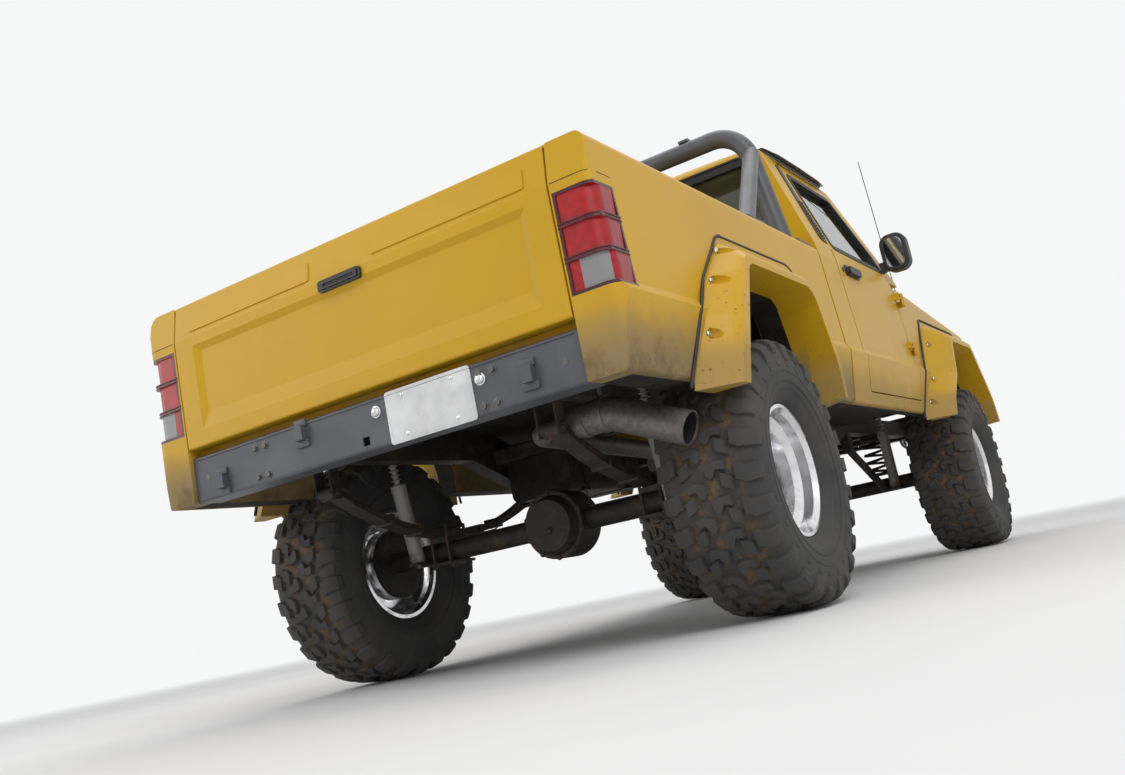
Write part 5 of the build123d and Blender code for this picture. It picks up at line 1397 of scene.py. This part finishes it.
@dataclass
class Doors:
    """What the doors carry: mirror glass, handle plate, lock, hinge bolts and inner trim card."""

    mirror: Outline = ((0.872, 1.391, 0.040), (0.980, 1.391, 0.044), (0.980, 1.557, 0.044),
                       (0.872, 1.557, 0.044))
    mirror_y: float = -0.702
    hinges: tuple[float, ...] = (1.000, 1.246)
    hinge_x: float = 0.893
    hinge_bolt: Flat = (0.0065, 0.004)
    lock: Flat = (0.048, 1.288)
    card: Flats = ((-0.735, 0.790), (0.075, 0.790), (0.075, 1.270), (-0.735, 1.270))
    card_x: Flat = (0.790, 0.8015)
    lock_ring: Flats = ((-0.004, CORE), (-0.004, 0.012), (0.003, 0.012), (0.005, 0.010),
                        (0.0035, 0.0075), (0.0035, CORE))

    def build(self) -> None:
        """Build both sides."""
        bolts, mirror = Shape(), rounded(self.mirror, 8, True)
        pane = grown(mirror, -0.008)
        for side, body in DOORS:
            way = (side, 0, 0)
            shape = Shape().loft([[(side * x, y, z) for x, z in pane] for y in (-0.7035, -0.7005)])
            shape.piece(f"{body}_mirror_glass", body, "glass", MIRROR)
            shape = Shape().gasket(mirror, (0.0, -0.009), (-0.006, 0.0035),
                                   lambda x, z, lift, s=side: (s * x, self.mirror_y + lift, z))
            shape.gasket(oblong((-0.170, 1.266), (0.022, 1.314), 0.012), (0.0, -0.010), (-0.004, 0.004),
                         lambda y, z, lift, s=side: (s * (side_at(z) + lift), y, z))
            shape.block((side * 0.872, -0.075, 1.2765), (0.014, 0.150, 0.007))
            shape.piece(f"{body}_handle_and_mirror_rims", body, "black_plastic", PLASTIC)
            shape, lock = Shape(), (side * side_at(1.29), *self.lock)
            shape.lathe(self.lock_ring, lock, way, 24).lathe(ring(0.0, 0.006, 0.0014), lock, way, 8)
            for z in self.hinges:
                shape.dome((side * self.hinge_x, -0.727, z + 0.015), way, *self.hinge_bolt)
                bolts.dome((side * self.hinge_x, -0.785, z - 0.015), way, *self.hinge_bolt)
            shape.piece(f"{body}_lock_and_hinge_bolts", body, "black_plastic", BOLT)
            shape = Shape().prism(self.card, Axis.X, *sorted(side * x for x in self.card_x))
            shape.block((side * 0.772, -0.185, 1.040), (0.045, 0.330, 0.045))
            shape.block((side * 0.786, -0.330, 0.880), (0.016, 0.620, 0.100)).round_off(0.006)
            shape.piece(f"{body}_inner_card", body, "black_plastic", DASH)
        bolts.piece("fender_hinge_bolts", BODY, "body_paint", BOLT)


@dataclass
class Bed:
    """The bed's pressed ribs, the roll bar's bolts, welds and tabs, and the tailgate's side seals."""

    floor_z: float = 0.890
    rib_gap: float = 0.104
    rib_half: float = 0.026
    bar_feet: Flats = ((0.792, 0.448), (0.790, 0.918))
    welds: tuple[tuple[float, Point, Point], ...] = ((0.037, (0.768, 0.448, 1.353), (-0.074, 0, 0.53)),
                                                     (0.031, (0.790, 0.916, 1.354), (-0.07, -0.47, 0.43)))
    tab: Flats = ((0.424, 1.9245), (0.472, 1.9245), (0.470, 1.934), (0.460, 1.940), (0.436, 1.940),
                  (0.426, 1.934))
    foot_bolt: Flat = (0.0095, 0.008)

    def ribs(self) -> None:
        """Add the pressed ribs of the bed floor and front wall."""
        shape, w = Shape(), self.rib_half
        low, high = self.floor_z - 0.002, self.floor_z + 0.006
        for k in range(-5, 6):
            x = self.rib_gap * k
            shape.loft([[(x - w, y, low), (x + w, y, low), (x + w - 0.007, y + e, high),
                         (x - w + 0.007, y + e, high)] for y, e in ((0.42, 0.008), (2.14, -0.008))])
        for z in (1.00, 1.12, 1.24):
            shape.loft([[(x, 0.396, z - 0.022), (x, 0.396, z + 0.022), (x - e, 0.405, z + 0.014),
                         (x - e, 0.405, z - 0.014)] for x, e in ((-0.68, -0.01), (0.68, 0.01))])
        shape.piece("bed_pressed_ribs", BODY, "body_paint", BED_PAINT)

    def roll_bar(self) -> None:
        """Add the bolts of the feet, weld beads and the lamp tabs of the roll bar."""
        shape = Shape()
        for x, y in self.bar_feet:
            for dx, dy in ((-0.036, -0.046), (-0.036, 0.046), (0.036, -0.046), (0.036, 0.046)):
                shape.bolt((x + dx, y + dy, 1.350), (0, 0, 1), *self.foot_bolt)
        shape.mirrored().piece("roll_bar_bolts", BODY, "bumper_grey", BOLT)
        shape = Shape()
        for r, centre, way in self.welds:
            bead = ((-0.004, r), (-0.004, r + 0.006), (0.001, r + 0.006), (0.005, r + 0.002), (0.005, r))
            shape.lathe(bead, centre, way, 36)
        shape.prism(self.tab, Axis.X, 0.428, 0.470).mirrored()
        shape.piece("roll_bar_welds_and_tabs", BODY, "bumper_grey", BAR_PAINT)

    def joints(self) -> None:
        """Line the joints beside the tailgate with dark seals."""
        shape = Shape().block((0.7395, 2.195, 1.10), (0.0045, 0.036, 0.46)).mirrored()
        shape.piece("tailgate_side_seals", BODY, "black_plastic", RUBBER)

    def build(self) -> None:
        """Build all of it."""
        self.ribs()
        self.roll_bar()
        self.joints()


@dataclass
class Tail:
    """What the tailgate, bumper and plate carry."""

    gate_y: float = 2.234
    bumper_y: float = 2.221
    plate: Point = (-0.233, 2.224, 0.760)
    plate_half: Flat = (0.146, 0.070)
    screw: Flat = (0.089, 0.056)
    plated_bolts: Flats = ((-0.042, 0.791), (-0.415, 0.787))
    stubs: Flats = ((0.610, 0.734), (0.252, 0.800), (-0.571, 0.757))

    def tailgate(self) -> None:
        """Add the handle's housing and paddle."""
        shape = Shape().gasket(oblong((-0.080, 1.187), (0.080, 1.215), 0.006), (0.004, -0.008),
                               (-0.008, 0.0085), lambda x, z, lift: (x, self.gate_y + lift, z))
        shape.block((0.0, 2.2385, 1.2035), (0.112, 0.009, 0.007))
        shape.piece("tailgate_handle_housing", "tailgate", "black_plastic", PLASTIC)

    def plate_and_bolts(self) -> None:
        """Add the plate's raised rim, its screws and the two plated bolts beside it."""
        (x0, y0, z0), (wide, high), way = self.plate, self.plate_half, (0, 1, 0)
        shape = Shape().gasket(oblong((x0 - wide, z0 - high), (x0 + wide, z0 + high), 0.012, 6),
                               (0.0, -0.0025), (-0.001, 0.0009), lambda x, z, lift: (x, y0 + lift, z))
        shape.piece("number_plate_raised_rim", BODY, "plate", PLATE)
        shape, (dx, dz) = Shape(), self.screw
        for x, z in ((x0 - dx, z0 + dz), (x0 + dx, z0 + dz), (x0 - dx, z0 - dz), (x0 + dx, z0 - dz)):
            shape.dome((x, y0, z), way, 0.0065, 0.0035)
        for x, z in self.plated_bolts:
            shape.lathe([(0.0, CORE), (0.0, 0.0175), (0.003, 0.0175), (0.004, 0.0155), (0.004, CORE)],
                        (x, self.bumper_y, z), way, 36)
            shape.dome((x, self.bumper_y + 0.004, z), way, 0.0135, 0.009)
        shape.piece("number_plate_screws", BODY, "plate", ZINC)

    def bumper(self) -> None:
        """Add the bumper's bolts and what is left of its brackets."""
        shape, y, way = Shape(), self.bumper_y, (0, 1, 0)
        for x, z in self.stubs:
            shape.bolt((x, y + 0.017, z - 0.008), way, 0.006, 0.004)
        for x in (0.413, 0.457, -0.457, -0.413):
            for z in (0.712, 0.802):
                shape.bolt((x, y, z), way, 0.0095, 0.007)
        for x in (-0.68, 0.68):
            shape.lathe(ring(-0.001, 0.0008, 0.011), (x, y, 0.76), way, 20)
        shape.piece("rear_bumper_bolts", BODY, "bumper_grey", BOLT)
        shape = Shape()
        for x, z in self.stubs:
            shape.block((x, y + 0.004, z - 0.031), (0.052, 0.008, 0.022))
            shape.block((x, y + 0.004, z + 0.031), (0.046, 0.008, 0.020))
        shape.block((0.0, y + 0.0015, 0.8255), (1.45, 0.003, 0.004)).round_off(0.0015)
        shape.piece("rear_bumper_bracket_remains", BODY, "bumper_grey", BUMPER_PAINT)

    def build(self) -> None:
        """Build all of it."""
        self.tailgate()
        self.plate_and_bolts()
        self.bumper()


@dataclass
class Suspension:
    """Coils, leaves, clamps, damper rings, axle covers and brake pipes."""

    coil_x: float = 0.380
    coil_low: float = 0.477
    coil_high: float = 0.704
    coil_radius: float = 0.0545
    coil_turns: float = 6.5
    coil_steps: int = 24
    wire: float = 0.0075
    seat_thick: float = 0.006
    spring_x: float = 0.440
    spring_eyes: Flats = ((0.800, 0.585), (REAR_AXLE_Y, 0.471), (1.950, 0.650))
    leaf_reach: Flats = ((0.30, 0.34), (0.42, 0.46), (0.53, 0.56))
    leaf_half: Flat = (0.0318, 0.0026)
    leaf_pitch: float = 0.0072
    leaf_steps: int = 24
    damper_share: float = 0.62
    dampers_at: tuple[tuple[Point, Point], ...] = (
        ((0.530, REAR_AXLE_Y + 0.080, 0.400), (0.530, REAR_AXLE_Y + 0.150, 0.850)),
        ((0.470, FRONT_AXLE_Y + 0.080, 0.400), (0.470, FRONT_AXLE_Y + 0.080, 0.880)))
    cover_bolts: int = 10
    cover_circle: float = 0.108
    brake_pipe: Outline = ((0.66, 0.04, 0.44), (0.60, 0.039, 0.452), (0.20, 0.036, 0.455))

    def coils(self) -> None:
        """Wind the front coil springs in place of their sleeves."""
        x, y, up = self.coil_x, FRONT_AXLE_Y, (0, 0, 1)
        low, high = self.coil_low + self.wire, self.coil_high - self.wire
        count = int(self.coil_turns * self.coil_steps)
        path = []
        for i in range(count + 1):
            angle = 2 * math.pi * i / self.coil_steps
            share = (i - self.coil_steps * 0.8) / (count - self.coil_steps * 1.6)
            path.append((x + self.coil_radius * math.cos(angle), y + self.coil_radius * math.sin(angle),
                         low + (high - low) * min(1.0, max(0.0, share))))
        shape = Shape().tube(path, self.wire, 10)
        for z in (self.coil_low, self.coil_high - self.seat_thick):
            shape.lathe(ring(0.0, self.seat_thick, 0.0615), (x, y, z), up, 32)
        shape.lathe([(0.0, CORE), (0.0, 0.022), (0.055, 0.018), (0.06, CORE)],
                    (x, y, self.coil_high - 0.062), up, 20)
        made = shape.mirrored().piece("front_coil_springs", BODY, "spring_steel", SPRING)
        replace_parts(made, "coil_springs")

    def leaf_line(self, y: float) -> float:
        """Find the spring's lower line, the arc through its eyes and perch.

        Args:
            y: Place along the vehicle.

        Returns:
            The line's height there.
        """
        total = 0.0
        for at, height in self.spring_eyes:
            others = [place for place, _ in self.spring_eyes if place != at]
            total += height * math.prod((y - place) / (at - place) for place in others)
        return total

    def leaves(self) -> None:
        """Show each leaf's edge, with clips, clamp plates and U-bolts."""
        shape, x, axle = Shape(), self.spring_x, REAR_AXLE_Y
        half, thick = self.leaf_half
        for k, (front, rear) in enumerate(self.leaf_reach):
            rings = []
            for i in range(self.leaf_steps + 1):
                y = axle - front + (front + rear) * i / self.leaf_steps
                z = self.leaf_line(y) + 0.0035 + self.leaf_pitch * k
                rings.append([(x - half, y, z - thick), (x + half, y, z - thick), (x + half, y, z + thick),
                              (x - half, y, z + thick)])
            shape.loft(rings)
        for dy in (-0.30, -0.17, 0.18, 0.33):
            shape.block((x, axle + dy, self.leaf_line(axle + dy) + 0.011), (0.072, 0.022, 0.036))
        for y in (axle - 0.055, axle + 0.055):
            for dx in (-0.036, 0.036):
                shape.tube([(x + dx, y, 0.362), (x + dx, y, 0.512)], 0.006, 8)
                shape.lathe(ring(0.0, 0.011, 0.011), (x + dx, y, 0.360), (0, 0, 1), 6)
            shape.tube([(x - 0.036, y, 0.508), (x + 0.036, y, 0.508)], 0.006, 8)
        shape.block((x, axle, 0.376), (0.100, 0.150, 0.010)).block((x, axle, 0.463), (0.066, 0.120, 0.018))
        for y, z in (self.spring_eyes[0], self.spring_eyes[2]):
            for way in (1, -1):
                shape.bolt((x + 0.036 * way, y, z), (way, 0, 0), 0.012, 0.009)
        shape.mirrored().piece("leaf_packs_and_clamps", BODY, "spring_steel", SPRING)

    def dampers(self) -> None:
        """Add the dampers' end rings, boot folds and foot bolts."""
        rings, bolts = Shape(), Shape()
        for foot, head in self.dampers_at:
            start, way = Vector(foot), Vector(head) - Vector(foot)
            for at in (0.035, self.damper_share - 0.02, self.damper_share):
                rings.lathe(ring(-0.006, 0.006, 0.0285, 0.026), start + way * at, way, 28)
            for k in range(9):
                rings.lathe([(-0.004, 0.009), (-0.001, 0.0185), (0.001, 0.0185), (0.004, 0.009)],
                            start + way * (self.damper_share + 0.02 + 0.038 * k), way, 20)
            bolts.bolt(start + Vector((0.0, 0.0, -0.013)), (0, 0, -1), 0.012, 0.009)
        rings.mirrored().piece("damper_rings_and_boots", BODY, "shock_grey", SHOCK)
        bolts.mirrored().piece("damper_foot_bolts", BODY, "spring_steel", BOLT)

    def axles(self) -> None:
        """Add both axles' cover bolts and drain plugs, and the rear brake pipes."""
        shape, pipes = Shape(), Shape()
        for x, y, turn in ((-0.060, REAR_AXLE_Y + 0.060, 1), (0.180, FRONT_AXLE_Y - 0.060, -1)):
            way = (0, turn, 0)
            shape.lathe(ring(0.0, 0.006, 0.1145, 0.090), (x, y, AXLE_Z), way, 48)
            for k in range(self.cover_bolts):
                angle = 2 * math.pi * (k + 0.5) / self.cover_bolts
                shape.bolt((x + self.cover_circle * math.cos(angle), y + turn * 0.006,
                            AXLE_Z + self.cover_circle * math.sin(angle)), way, 0.0075, 0.006)
            shape.bolt((x, y + turn * 0.040, AXLE_Z - 0.02), way, 0.012, 0.008)
        shape.piece("axle_cover_bolts", BODY, "chassis", CAST)
        for side in (1, -1):
            run = [(side * x, REAR_AXLE_Y + dy, z) for x, dy, z in self.brake_pipe]
            ends = [(side * 0.13 - 0.06, REAR_AXLE_Y + 0.03, 0.53), (0.0, REAR_AXLE_Y + 0.02, 0.545)]
            pipes.tube(run + ends, 0.003, 6)
        pipes.piece("rear_brake_pipes", BODY, "chassis", RUBBER)

    def build(self) -> None:
        """Build all of it."""
        self.coils()
        self.leaves()
        self.dampers()
        self.axles()


@dataclass
class Underbody:
    """Shaft joints, tank straps, frame bolts, exhaust clamps and soot."""

    tail: Point = (-0.817, 1.848, 0.561)
    tail_way: Point = (-0.9157, 0.0, -0.4018)
    shafts: tuple[tuple[Point, Point], ...] = (((-0.060, -0.450, 0.589), (-0.060, 1.300, 0.432)),
                                               ((0.180, -0.700, 0.587), (0.180, -1.435, 0.437)))
    yoke: Flats = ((-0.030, 0.022), (-0.030, 0.046), (-0.018, 0.046), (-0.012, 0.034),
                   (0.012, 0.034), (0.018, 0.046), (0.030, 0.046), (0.030, 0.022))
    mount: Flats = ((-0.030, CORE), (-0.030, 0.026), (-0.004, 0.030), (0.0, 0.030), (0.0, CORE))
    mounts: tuple[Point, ...] = ((0.40, -0.62, 0.735), (0.475, 0.20, 0.735), (0.475, 0.44, 0.735),
                                 (0.475, 1.05, 0.850), (0.475, 1.75, 0.850), (0.475, 2.10, 0.850))
    pipe_clamps: tuple[Point, ...] = ((-0.262, 0.36, 0.600), (-0.262, 0.845, 0.600), (-0.250, -0.60, 0.600),
                                      (-0.250, -0.10, 0.600))

    def shaft_joints(self) -> None:
        """Add a joint near each end of both drive shafts."""
        shape = Shape()
        for start, end in self.shafts:
            way = Vector(end) - Vector(start)
            for at in (Vector(start) + way * 0.03, Vector(start) + way * 0.965):
                shape.lathe(self.yoke, at, way, 20)
                for turn in ((1, 0, 0), (-1, 0, 0), (0, 0, 1), (0, 0, -1)):
                    shape.dome(at + Vector(turn) * 0.033, turn, 0.014, 0.012)
        shape.piece("shaft_joints", BODY, "cast", CAST)

    def frame(self) -> None:
        """Add the tank's straps and the frame's rivets and body mounts."""
        shape = Shape()
        for y in (0.48, 0.84):
            shape.block((0.260, y, 0.5685), (0.284, 0.032, 0.004))
            shape.block((0.1185, y, 0.660), (0.004, 0.032, 0.184))
        for side in (1, -1):
            for y in (-0.25 + 0.108 * k for k in range(22)):
                shape.dome((side * 0.470, y, 0.665 if y < 0.8 else 0.8), (side, 0, 0), 0.0075, 0.004)
            for x, y, z in self.mounts:
                shape.lathe(self.mount, (side * x, y, z), (0, 0, 1), 20)
        shape.piece("tank_straps_and_frame_bolts", BODY, "chassis", CHASSIS_PAINT)

    def pipes(self) -> None:
        """Add the soot in the exhaust's end, its lip and the clamps."""
        way, end = self.tail_way, Vector(self.tail)
        shape = Shape().lathe(ring(0.0, 0.003, 0.0455), end - Vector(way) * 0.150, way)
        shape.lathe(ring(-0.150, -0.006, 0.0462, 0.0455), end, way)
        shape.piece("exhaust_soot", BODY, "exhaust_steel", SOOT)
        shape = Shape().lathe(ring(-0.004, 0.0, 0.0505, 0.046), end, way, 40)
        for place in self.pipe_clamps:
            shape.lathe(ring(-0.014, 0.014, 0.035, 0.029), place, (0, 1, 0), 28)
        for x in (-0.565, -0.50):
            shape.lathe(ring(-0.010, 0.010, 0.0535, 0.049), (x, 1.848, 0.665), (1, 0, 0))
        shape.piece("exhaust_clamps", BODY, "exhaust_steel", PIPE)

    def build(self) -> None:
        """Build all of it."""
        self.shaft_joints()
        self.frame()
        self.pipes()


@dataclass
class Nose:
    """Headlamp rims and reflectors, marker lamps, grille bars, front bumper bolts and hooks."""

    lamp: Flat = (0.560, 1.085)
    lamp_half: Flat = (0.115, 0.075)
    face_y: float = -2.190
    bumper_y: float = -2.2395
    hook: Outline = ((0.38, -2.160, 0.700), (0.38, -2.205, 0.690), (0.38, -2.225, 0.668),
                     (0.38, -2.205, 0.645), (0.38, -2.150, 0.660), (0.38, -2.120, 0.690))

    def on_face(self, x: float, z: float, lift: float) -> Point:
        """Return the point at (x, z) on the front panel's face, lifted off it."""
        return (x, self.face_y - lift, z)

    def lamps(self) -> None:
        """Add the headlamps' rims and reflectors and the marker lamps."""
        (x0, z0), (wide, high), way = self.lamp, self.lamp_half, (0, -1, 0)
        shape = Shape().gasket(oblong((x0 - wide, z0 - high), (x0 + wide, z0 + high), 0.012),
                               (0.012, -0.006), (-0.012, 0.006), self.on_face)
        shape.lathe([(0.0, 0.060), (0.0, 0.066), (0.014, 0.066), (0.016, 0.060)], (x0, -2.176, z0), way, 40)
        shape.mirrored().piece("headlamp_rims", BODY, "lamp_clear", ZINC)
        shape = Shape().lathe([(0.0, CORE), (0.0, 0.070), (0.004, 0.070), (0.001, 0.050), (-0.012, 0.026),
                               (-0.018, CORE)], (x0, -2.160, z0), way, 40)
        shape.block((x0, -2.153, z0), (wide * 2, 0.006, high * 2)).mirrored()
        shape.piece("headlamp_reflectors", BODY, "lamp_clear", MIRROR)
        shape = Shape().block((0.748, -2.193, z0), (0.100, 0.012, high * 2)).round_off(0.004).mirrored()
        shape.piece("front_marker_lamps", BODY, "lamp_clear", LENS_AMBER)

    def grille_and_bumper(self) -> None:
        """Add the grille's surround and bars, and the front bumper's bolts and hooks."""
        shape = Shape().gasket(oblong((-0.395, 0.895), (0.395, 1.185), 0.02), (0.012, -0.008),
                               (-0.008, 0.007), self.on_face)
        for k in range(-3, 4):
            shape.block((0.112 * k, -2.172, 1.04), (0.006, 0.02, 0.285))
        shape.piece("grille_surround", BODY, "black_plastic", PLASTIC)
        shape = Shape()
        for x, z in ((0.345, 0.72), (0.345, 0.79), (0.415, 0.72), (0.415, 0.79)):
            shape.bolt((x, self.bumper_y, z), (0, -1, 0), 0.008, 0.005)
        shape.tube(self.hook, 0.009, 10).mirrored()
        shape.piece("front_bolts_and_hooks", BODY, "bumper_grey", BUMPER_PAINT)

    def build(self) -> None:
        """Build all of it."""
        self.lamps()
        self.grille_and_bumper()


@dataclass
class Cabin:
    """Padded bench seat, steering wheel rim, gauge hood, levers and floor mat."""

    voxel: float = 0.007
    pressure: float = 4.0
    frames: int = 20
    most_swell: float = 0.012
    slack: float = 0.94
    groove_half: float = 0.011
    groove_depth: float = 0.014
    edge_fade: float = 0.05
    seams: tuple[float, ...] = (-0.62, -0.333, 0.333, 0.62)
    back_seam: float = 0.52
    wheel_at: Point = (0.380, -0.488, 1.246)
    wheel_way: Point = (0.0, -0.9, -0.44)
    wheel_radius: float = 0.180

    def swell(self, block: bpy.types.Object) -> list[Vector]:
        """Inflate a closed form as cloth.

        Args:
            block: The object, which ends with a remeshed surface and no modifiers.

        Returns:
            Where each of its points comes to lie.
        """
        scene = bpy.context.scene
        grid = block.modifiers.new("grid", "REMESH")
        grid.mode = "VOXEL"
        grid.voxel_size = self.voxel
        graph = bpy.context.evaluated_depsgraph_get()
        data = bpy.data.meshes.new_from_object(block.evaluated_get(graph))
        block.modifiers.clear()
        block.data = data
        cloth = block.modifiers.new("fill", "CLOTH")
        cloth.settings.use_pressure = True
        cloth.settings.uniform_pressure_force = self.pressure
        cloth.settings.effector_weights.gravity = 0.0
        cloth.point_cache.frame_start = 1
        cloth.point_cache.frame_end = self.frames
        for step in range(1, self.frames + 1):
            scene.frame_set(step)
        graph = bpy.context.evaluated_depsgraph_get()
        swollen = [v.co.copy() for v in block.evaluated_get(graph).data.vertices]
        block.modifiers.clear()
        scene.frame_set(1)
        places = []
        for vert, end in zip(data.vertices, swollen):
            move = end - vert.co
            places.append(vert.co + move * min(1.0, self.most_swell / max(move.length, 1e-6)))
        return places

    def pad(self, name: str, centre: Point, size: Point, lean: float) -> None:
        """Make one cushion, filled by a cloth simulation, with sewn channels.

        Args:
            name: Name of the piece.
            centre: Its middle.
            size: Its full lengths across, along and through.
            lean: Turn about the x axis in degrees.
        """
        half = Vector(size) / 2
        outline = oblong((-1.0, -1.0), (1.0, 1.0), 0.10, 7)
        shape = Shape().loft(
            [[(u * inset * (half.x - 0.008), v * inset * (half.y - 0.008), level * half.z * self.slack)
              for u, v in outline] for level, inset in ((-0.8, 0.96), (-0.5, 1.0), (0.5, 1.0), (0.8, 0.96))])
        block = show(f"{name}_form", shape.data(name))
        places = self.swell(block)
        shape = Shape()
        shape.mesh.from_mesh(block.data)
        bpy.data.objects.remove(block)
        for vert, place in zip(shape.mesh.verts, places):
            inward = min(1.0, max(0.0, (half.y - abs(place.y)) / self.edge_fade))
            edge = inward if abs(place.z) > half.z * 0.4 else 0.0
            groove = sum(math.exp(-((place.x - s * half.x) / self.groove_half) ** 2) for s in self.seams)
            channel = math.exp(-((place.y - self.back_seam * half.y) / self.groove_half) ** 2)
            depth = self.groove_depth * max(groove, channel) * edge
            vert.co = (place.x, place.y, place.z - math.copysign(depth, place.z))
        move = Matrix.Translation(Vector(centre)) @ Matrix.Rotation(math.radians(lean), 4, "X")
        bmesh.ops.transform(shape.mesh, matrix=move, verts=shape.mesh.verts)
        made = shape.piece(name, BODY, "seat_fabric", CLOTH, 60.0)
        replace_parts(made, "seat")

    def seat(self) -> None:
        """Build the bench in place of its plain solid."""
        shape = Shape()
        for x in (-0.40, 0.40):
            shape.prism([(-0.24, 0.766), (0.26, 0.766), (0.24, 0.985), (-0.22, 0.985)], Axis.X,
                        x - 0.16, x + 0.16)
        shape.prism([(0.248, 0.985), (0.264, 0.985), (0.283, 1.46), (0.270, 1.47)], Axis.X, -0.59, 0.59)
        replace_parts(shape.piece("seat_base", BODY, "seat_fabric", DASH), "seat")
        self.pad("seat_cushion", (0.0, -0.050, 1.040), (1.22, 0.47, 0.125), 4.0)
        self.pad("seat_back", (0.0, 0.193, 1.275), (1.22, 0.45, 0.105), 82.0)

    def controls(self) -> None:
        """Add the steering wheel's rim, gauge hood, levers and inside mirror."""
        centre, axis, first = Vector(self.wheel_at), Vector(self.wheel_way).normalized(), Vector((1, 0, 0))
        second = axis.cross(first)
        shape = Shape().tube([centre + (first * math.cos(a) + second * math.sin(a)) * self.wheel_radius
                              for a in circle(48)], 0.013, 10, True)
        shape.dome(centre - axis * 0.004, -axis, 0.048, 0.022)
        shape.prism([(-0.74, 1.300), (-0.62, 1.300), (-0.605, 1.335), (-0.66, 1.352), (-0.74, 1.352)],
                    Axis.X, 0.235, 0.525)
        for x, lean in ((0.0, 0.05), (-0.07, 0.03)):
            knob = -0.42 + lean * 2.2
            shape.tube([(x, -0.42, 0.77), (x, -0.42 + lean, 0.95), (x, knob, 1.09)], 0.007, 8)
            shape.lathe([(0.0, CORE), (0.0, 0.012), (0.02, 0.022), (0.04, 0.020), (0.05, CORE)],
                        (x, knob, 1.075), (0, 0.1, 1), 20)
        shape.prism([(-0.50, 1.742), (-0.485, 1.742), (-0.475, 1.800), (-0.49, 1.800)], Axis.X, -0.12, 0.12)
        shape.tube([(0.0, -0.487, 1.795), (0.0, -0.50, 1.83), (0.0, -0.52, 1.865)], 0.006, 8)
        shape.round_off(0.002).piece("cab_controls", BODY, "black_plastic", DASH)
        shape = Shape()
        for x in (0.31, 0.45):
            shape.lathe([(0.0, CORE), (0.0, 0.040), (0.006, 0.040), (0.006, 0.036), (0.002, 0.034),
                         (0.002, CORE)], (x, -0.606, 1.322), (0, 1, 0.2), 36)
        shape.piece("gauge_rings", BODY, "black_plastic", ZINC)

    def mat(self) -> None:
        """Lay the ribbed rubber mat over the cab's floor."""
        shape = Shape().block((0.0, -0.310, 0.7675), (1.540, 0.840, 0.008))
        for k in range(12):
            shape.block((0.0, -0.700 + 0.034 * k, 0.7725), (1.460, 0.014, 0.006))
        shape.round_off(0.0012, 1).piece("cab_floor_mat", BODY, "black_plastic", DASH)

    def build(self) -> None:
        """Build all of it."""
        self.seat()
        self.controls()
        self.mat()


def finish_nodes() -> None:
    """Give every carried-over node its finish."""
    dress(PAINT, "cab_shell", "front_fenders", "hood", "door_left", "door_right", "tailgate")
    dress(BED_PAINT, "bed_sides", "bed_floor")
    dress(WINDOW, "cab_glass", "door_glass_left", "door_glass_right")
    dress(LENS_CLEAR, "headlamps")
    dress(BUMPER_PAINT, "rear_bumper", "front_bumper")
    dress(BAR_PAINT, "roll_bar")
    dress(PLASTIC, "front_panel", "door_trim_left", "door_trim_right", "tailgate_handle", "antenna")
    dress(PLATE, "number_plate")
    dress(CHASSIS_PAINT, "frame_rails", "front_axle", "rear_axle", "control_arms", "fuel_tank")
    dress(CAST, "drivetrain", "knuckle_left", "knuckle_right")
    dress(SPRING, "tie_rod", "leaf_springs", "coil_springs")
    dress(SHOCK, "shocks")
    dress(PIPE, "exhaust")
    dress(CLOTH, "seat")
    dress(DASH, "dashboard")


def main() -> None:
    """Build the studio and every sub-assembly in order."""
    logging.basicConfig(level=logging.INFO, format="%(message)s")
    Studio().build()
    finish_nodes()
    for kind in (Wheels, Flares, TailLamps, Glazing, Doors, Bed, Tail, Suspension, Underbody, Nose, Cabin):
        kind().build()
        LOG.info("%s done", kind.__name__)


if __name__ == "__main__":
    main()
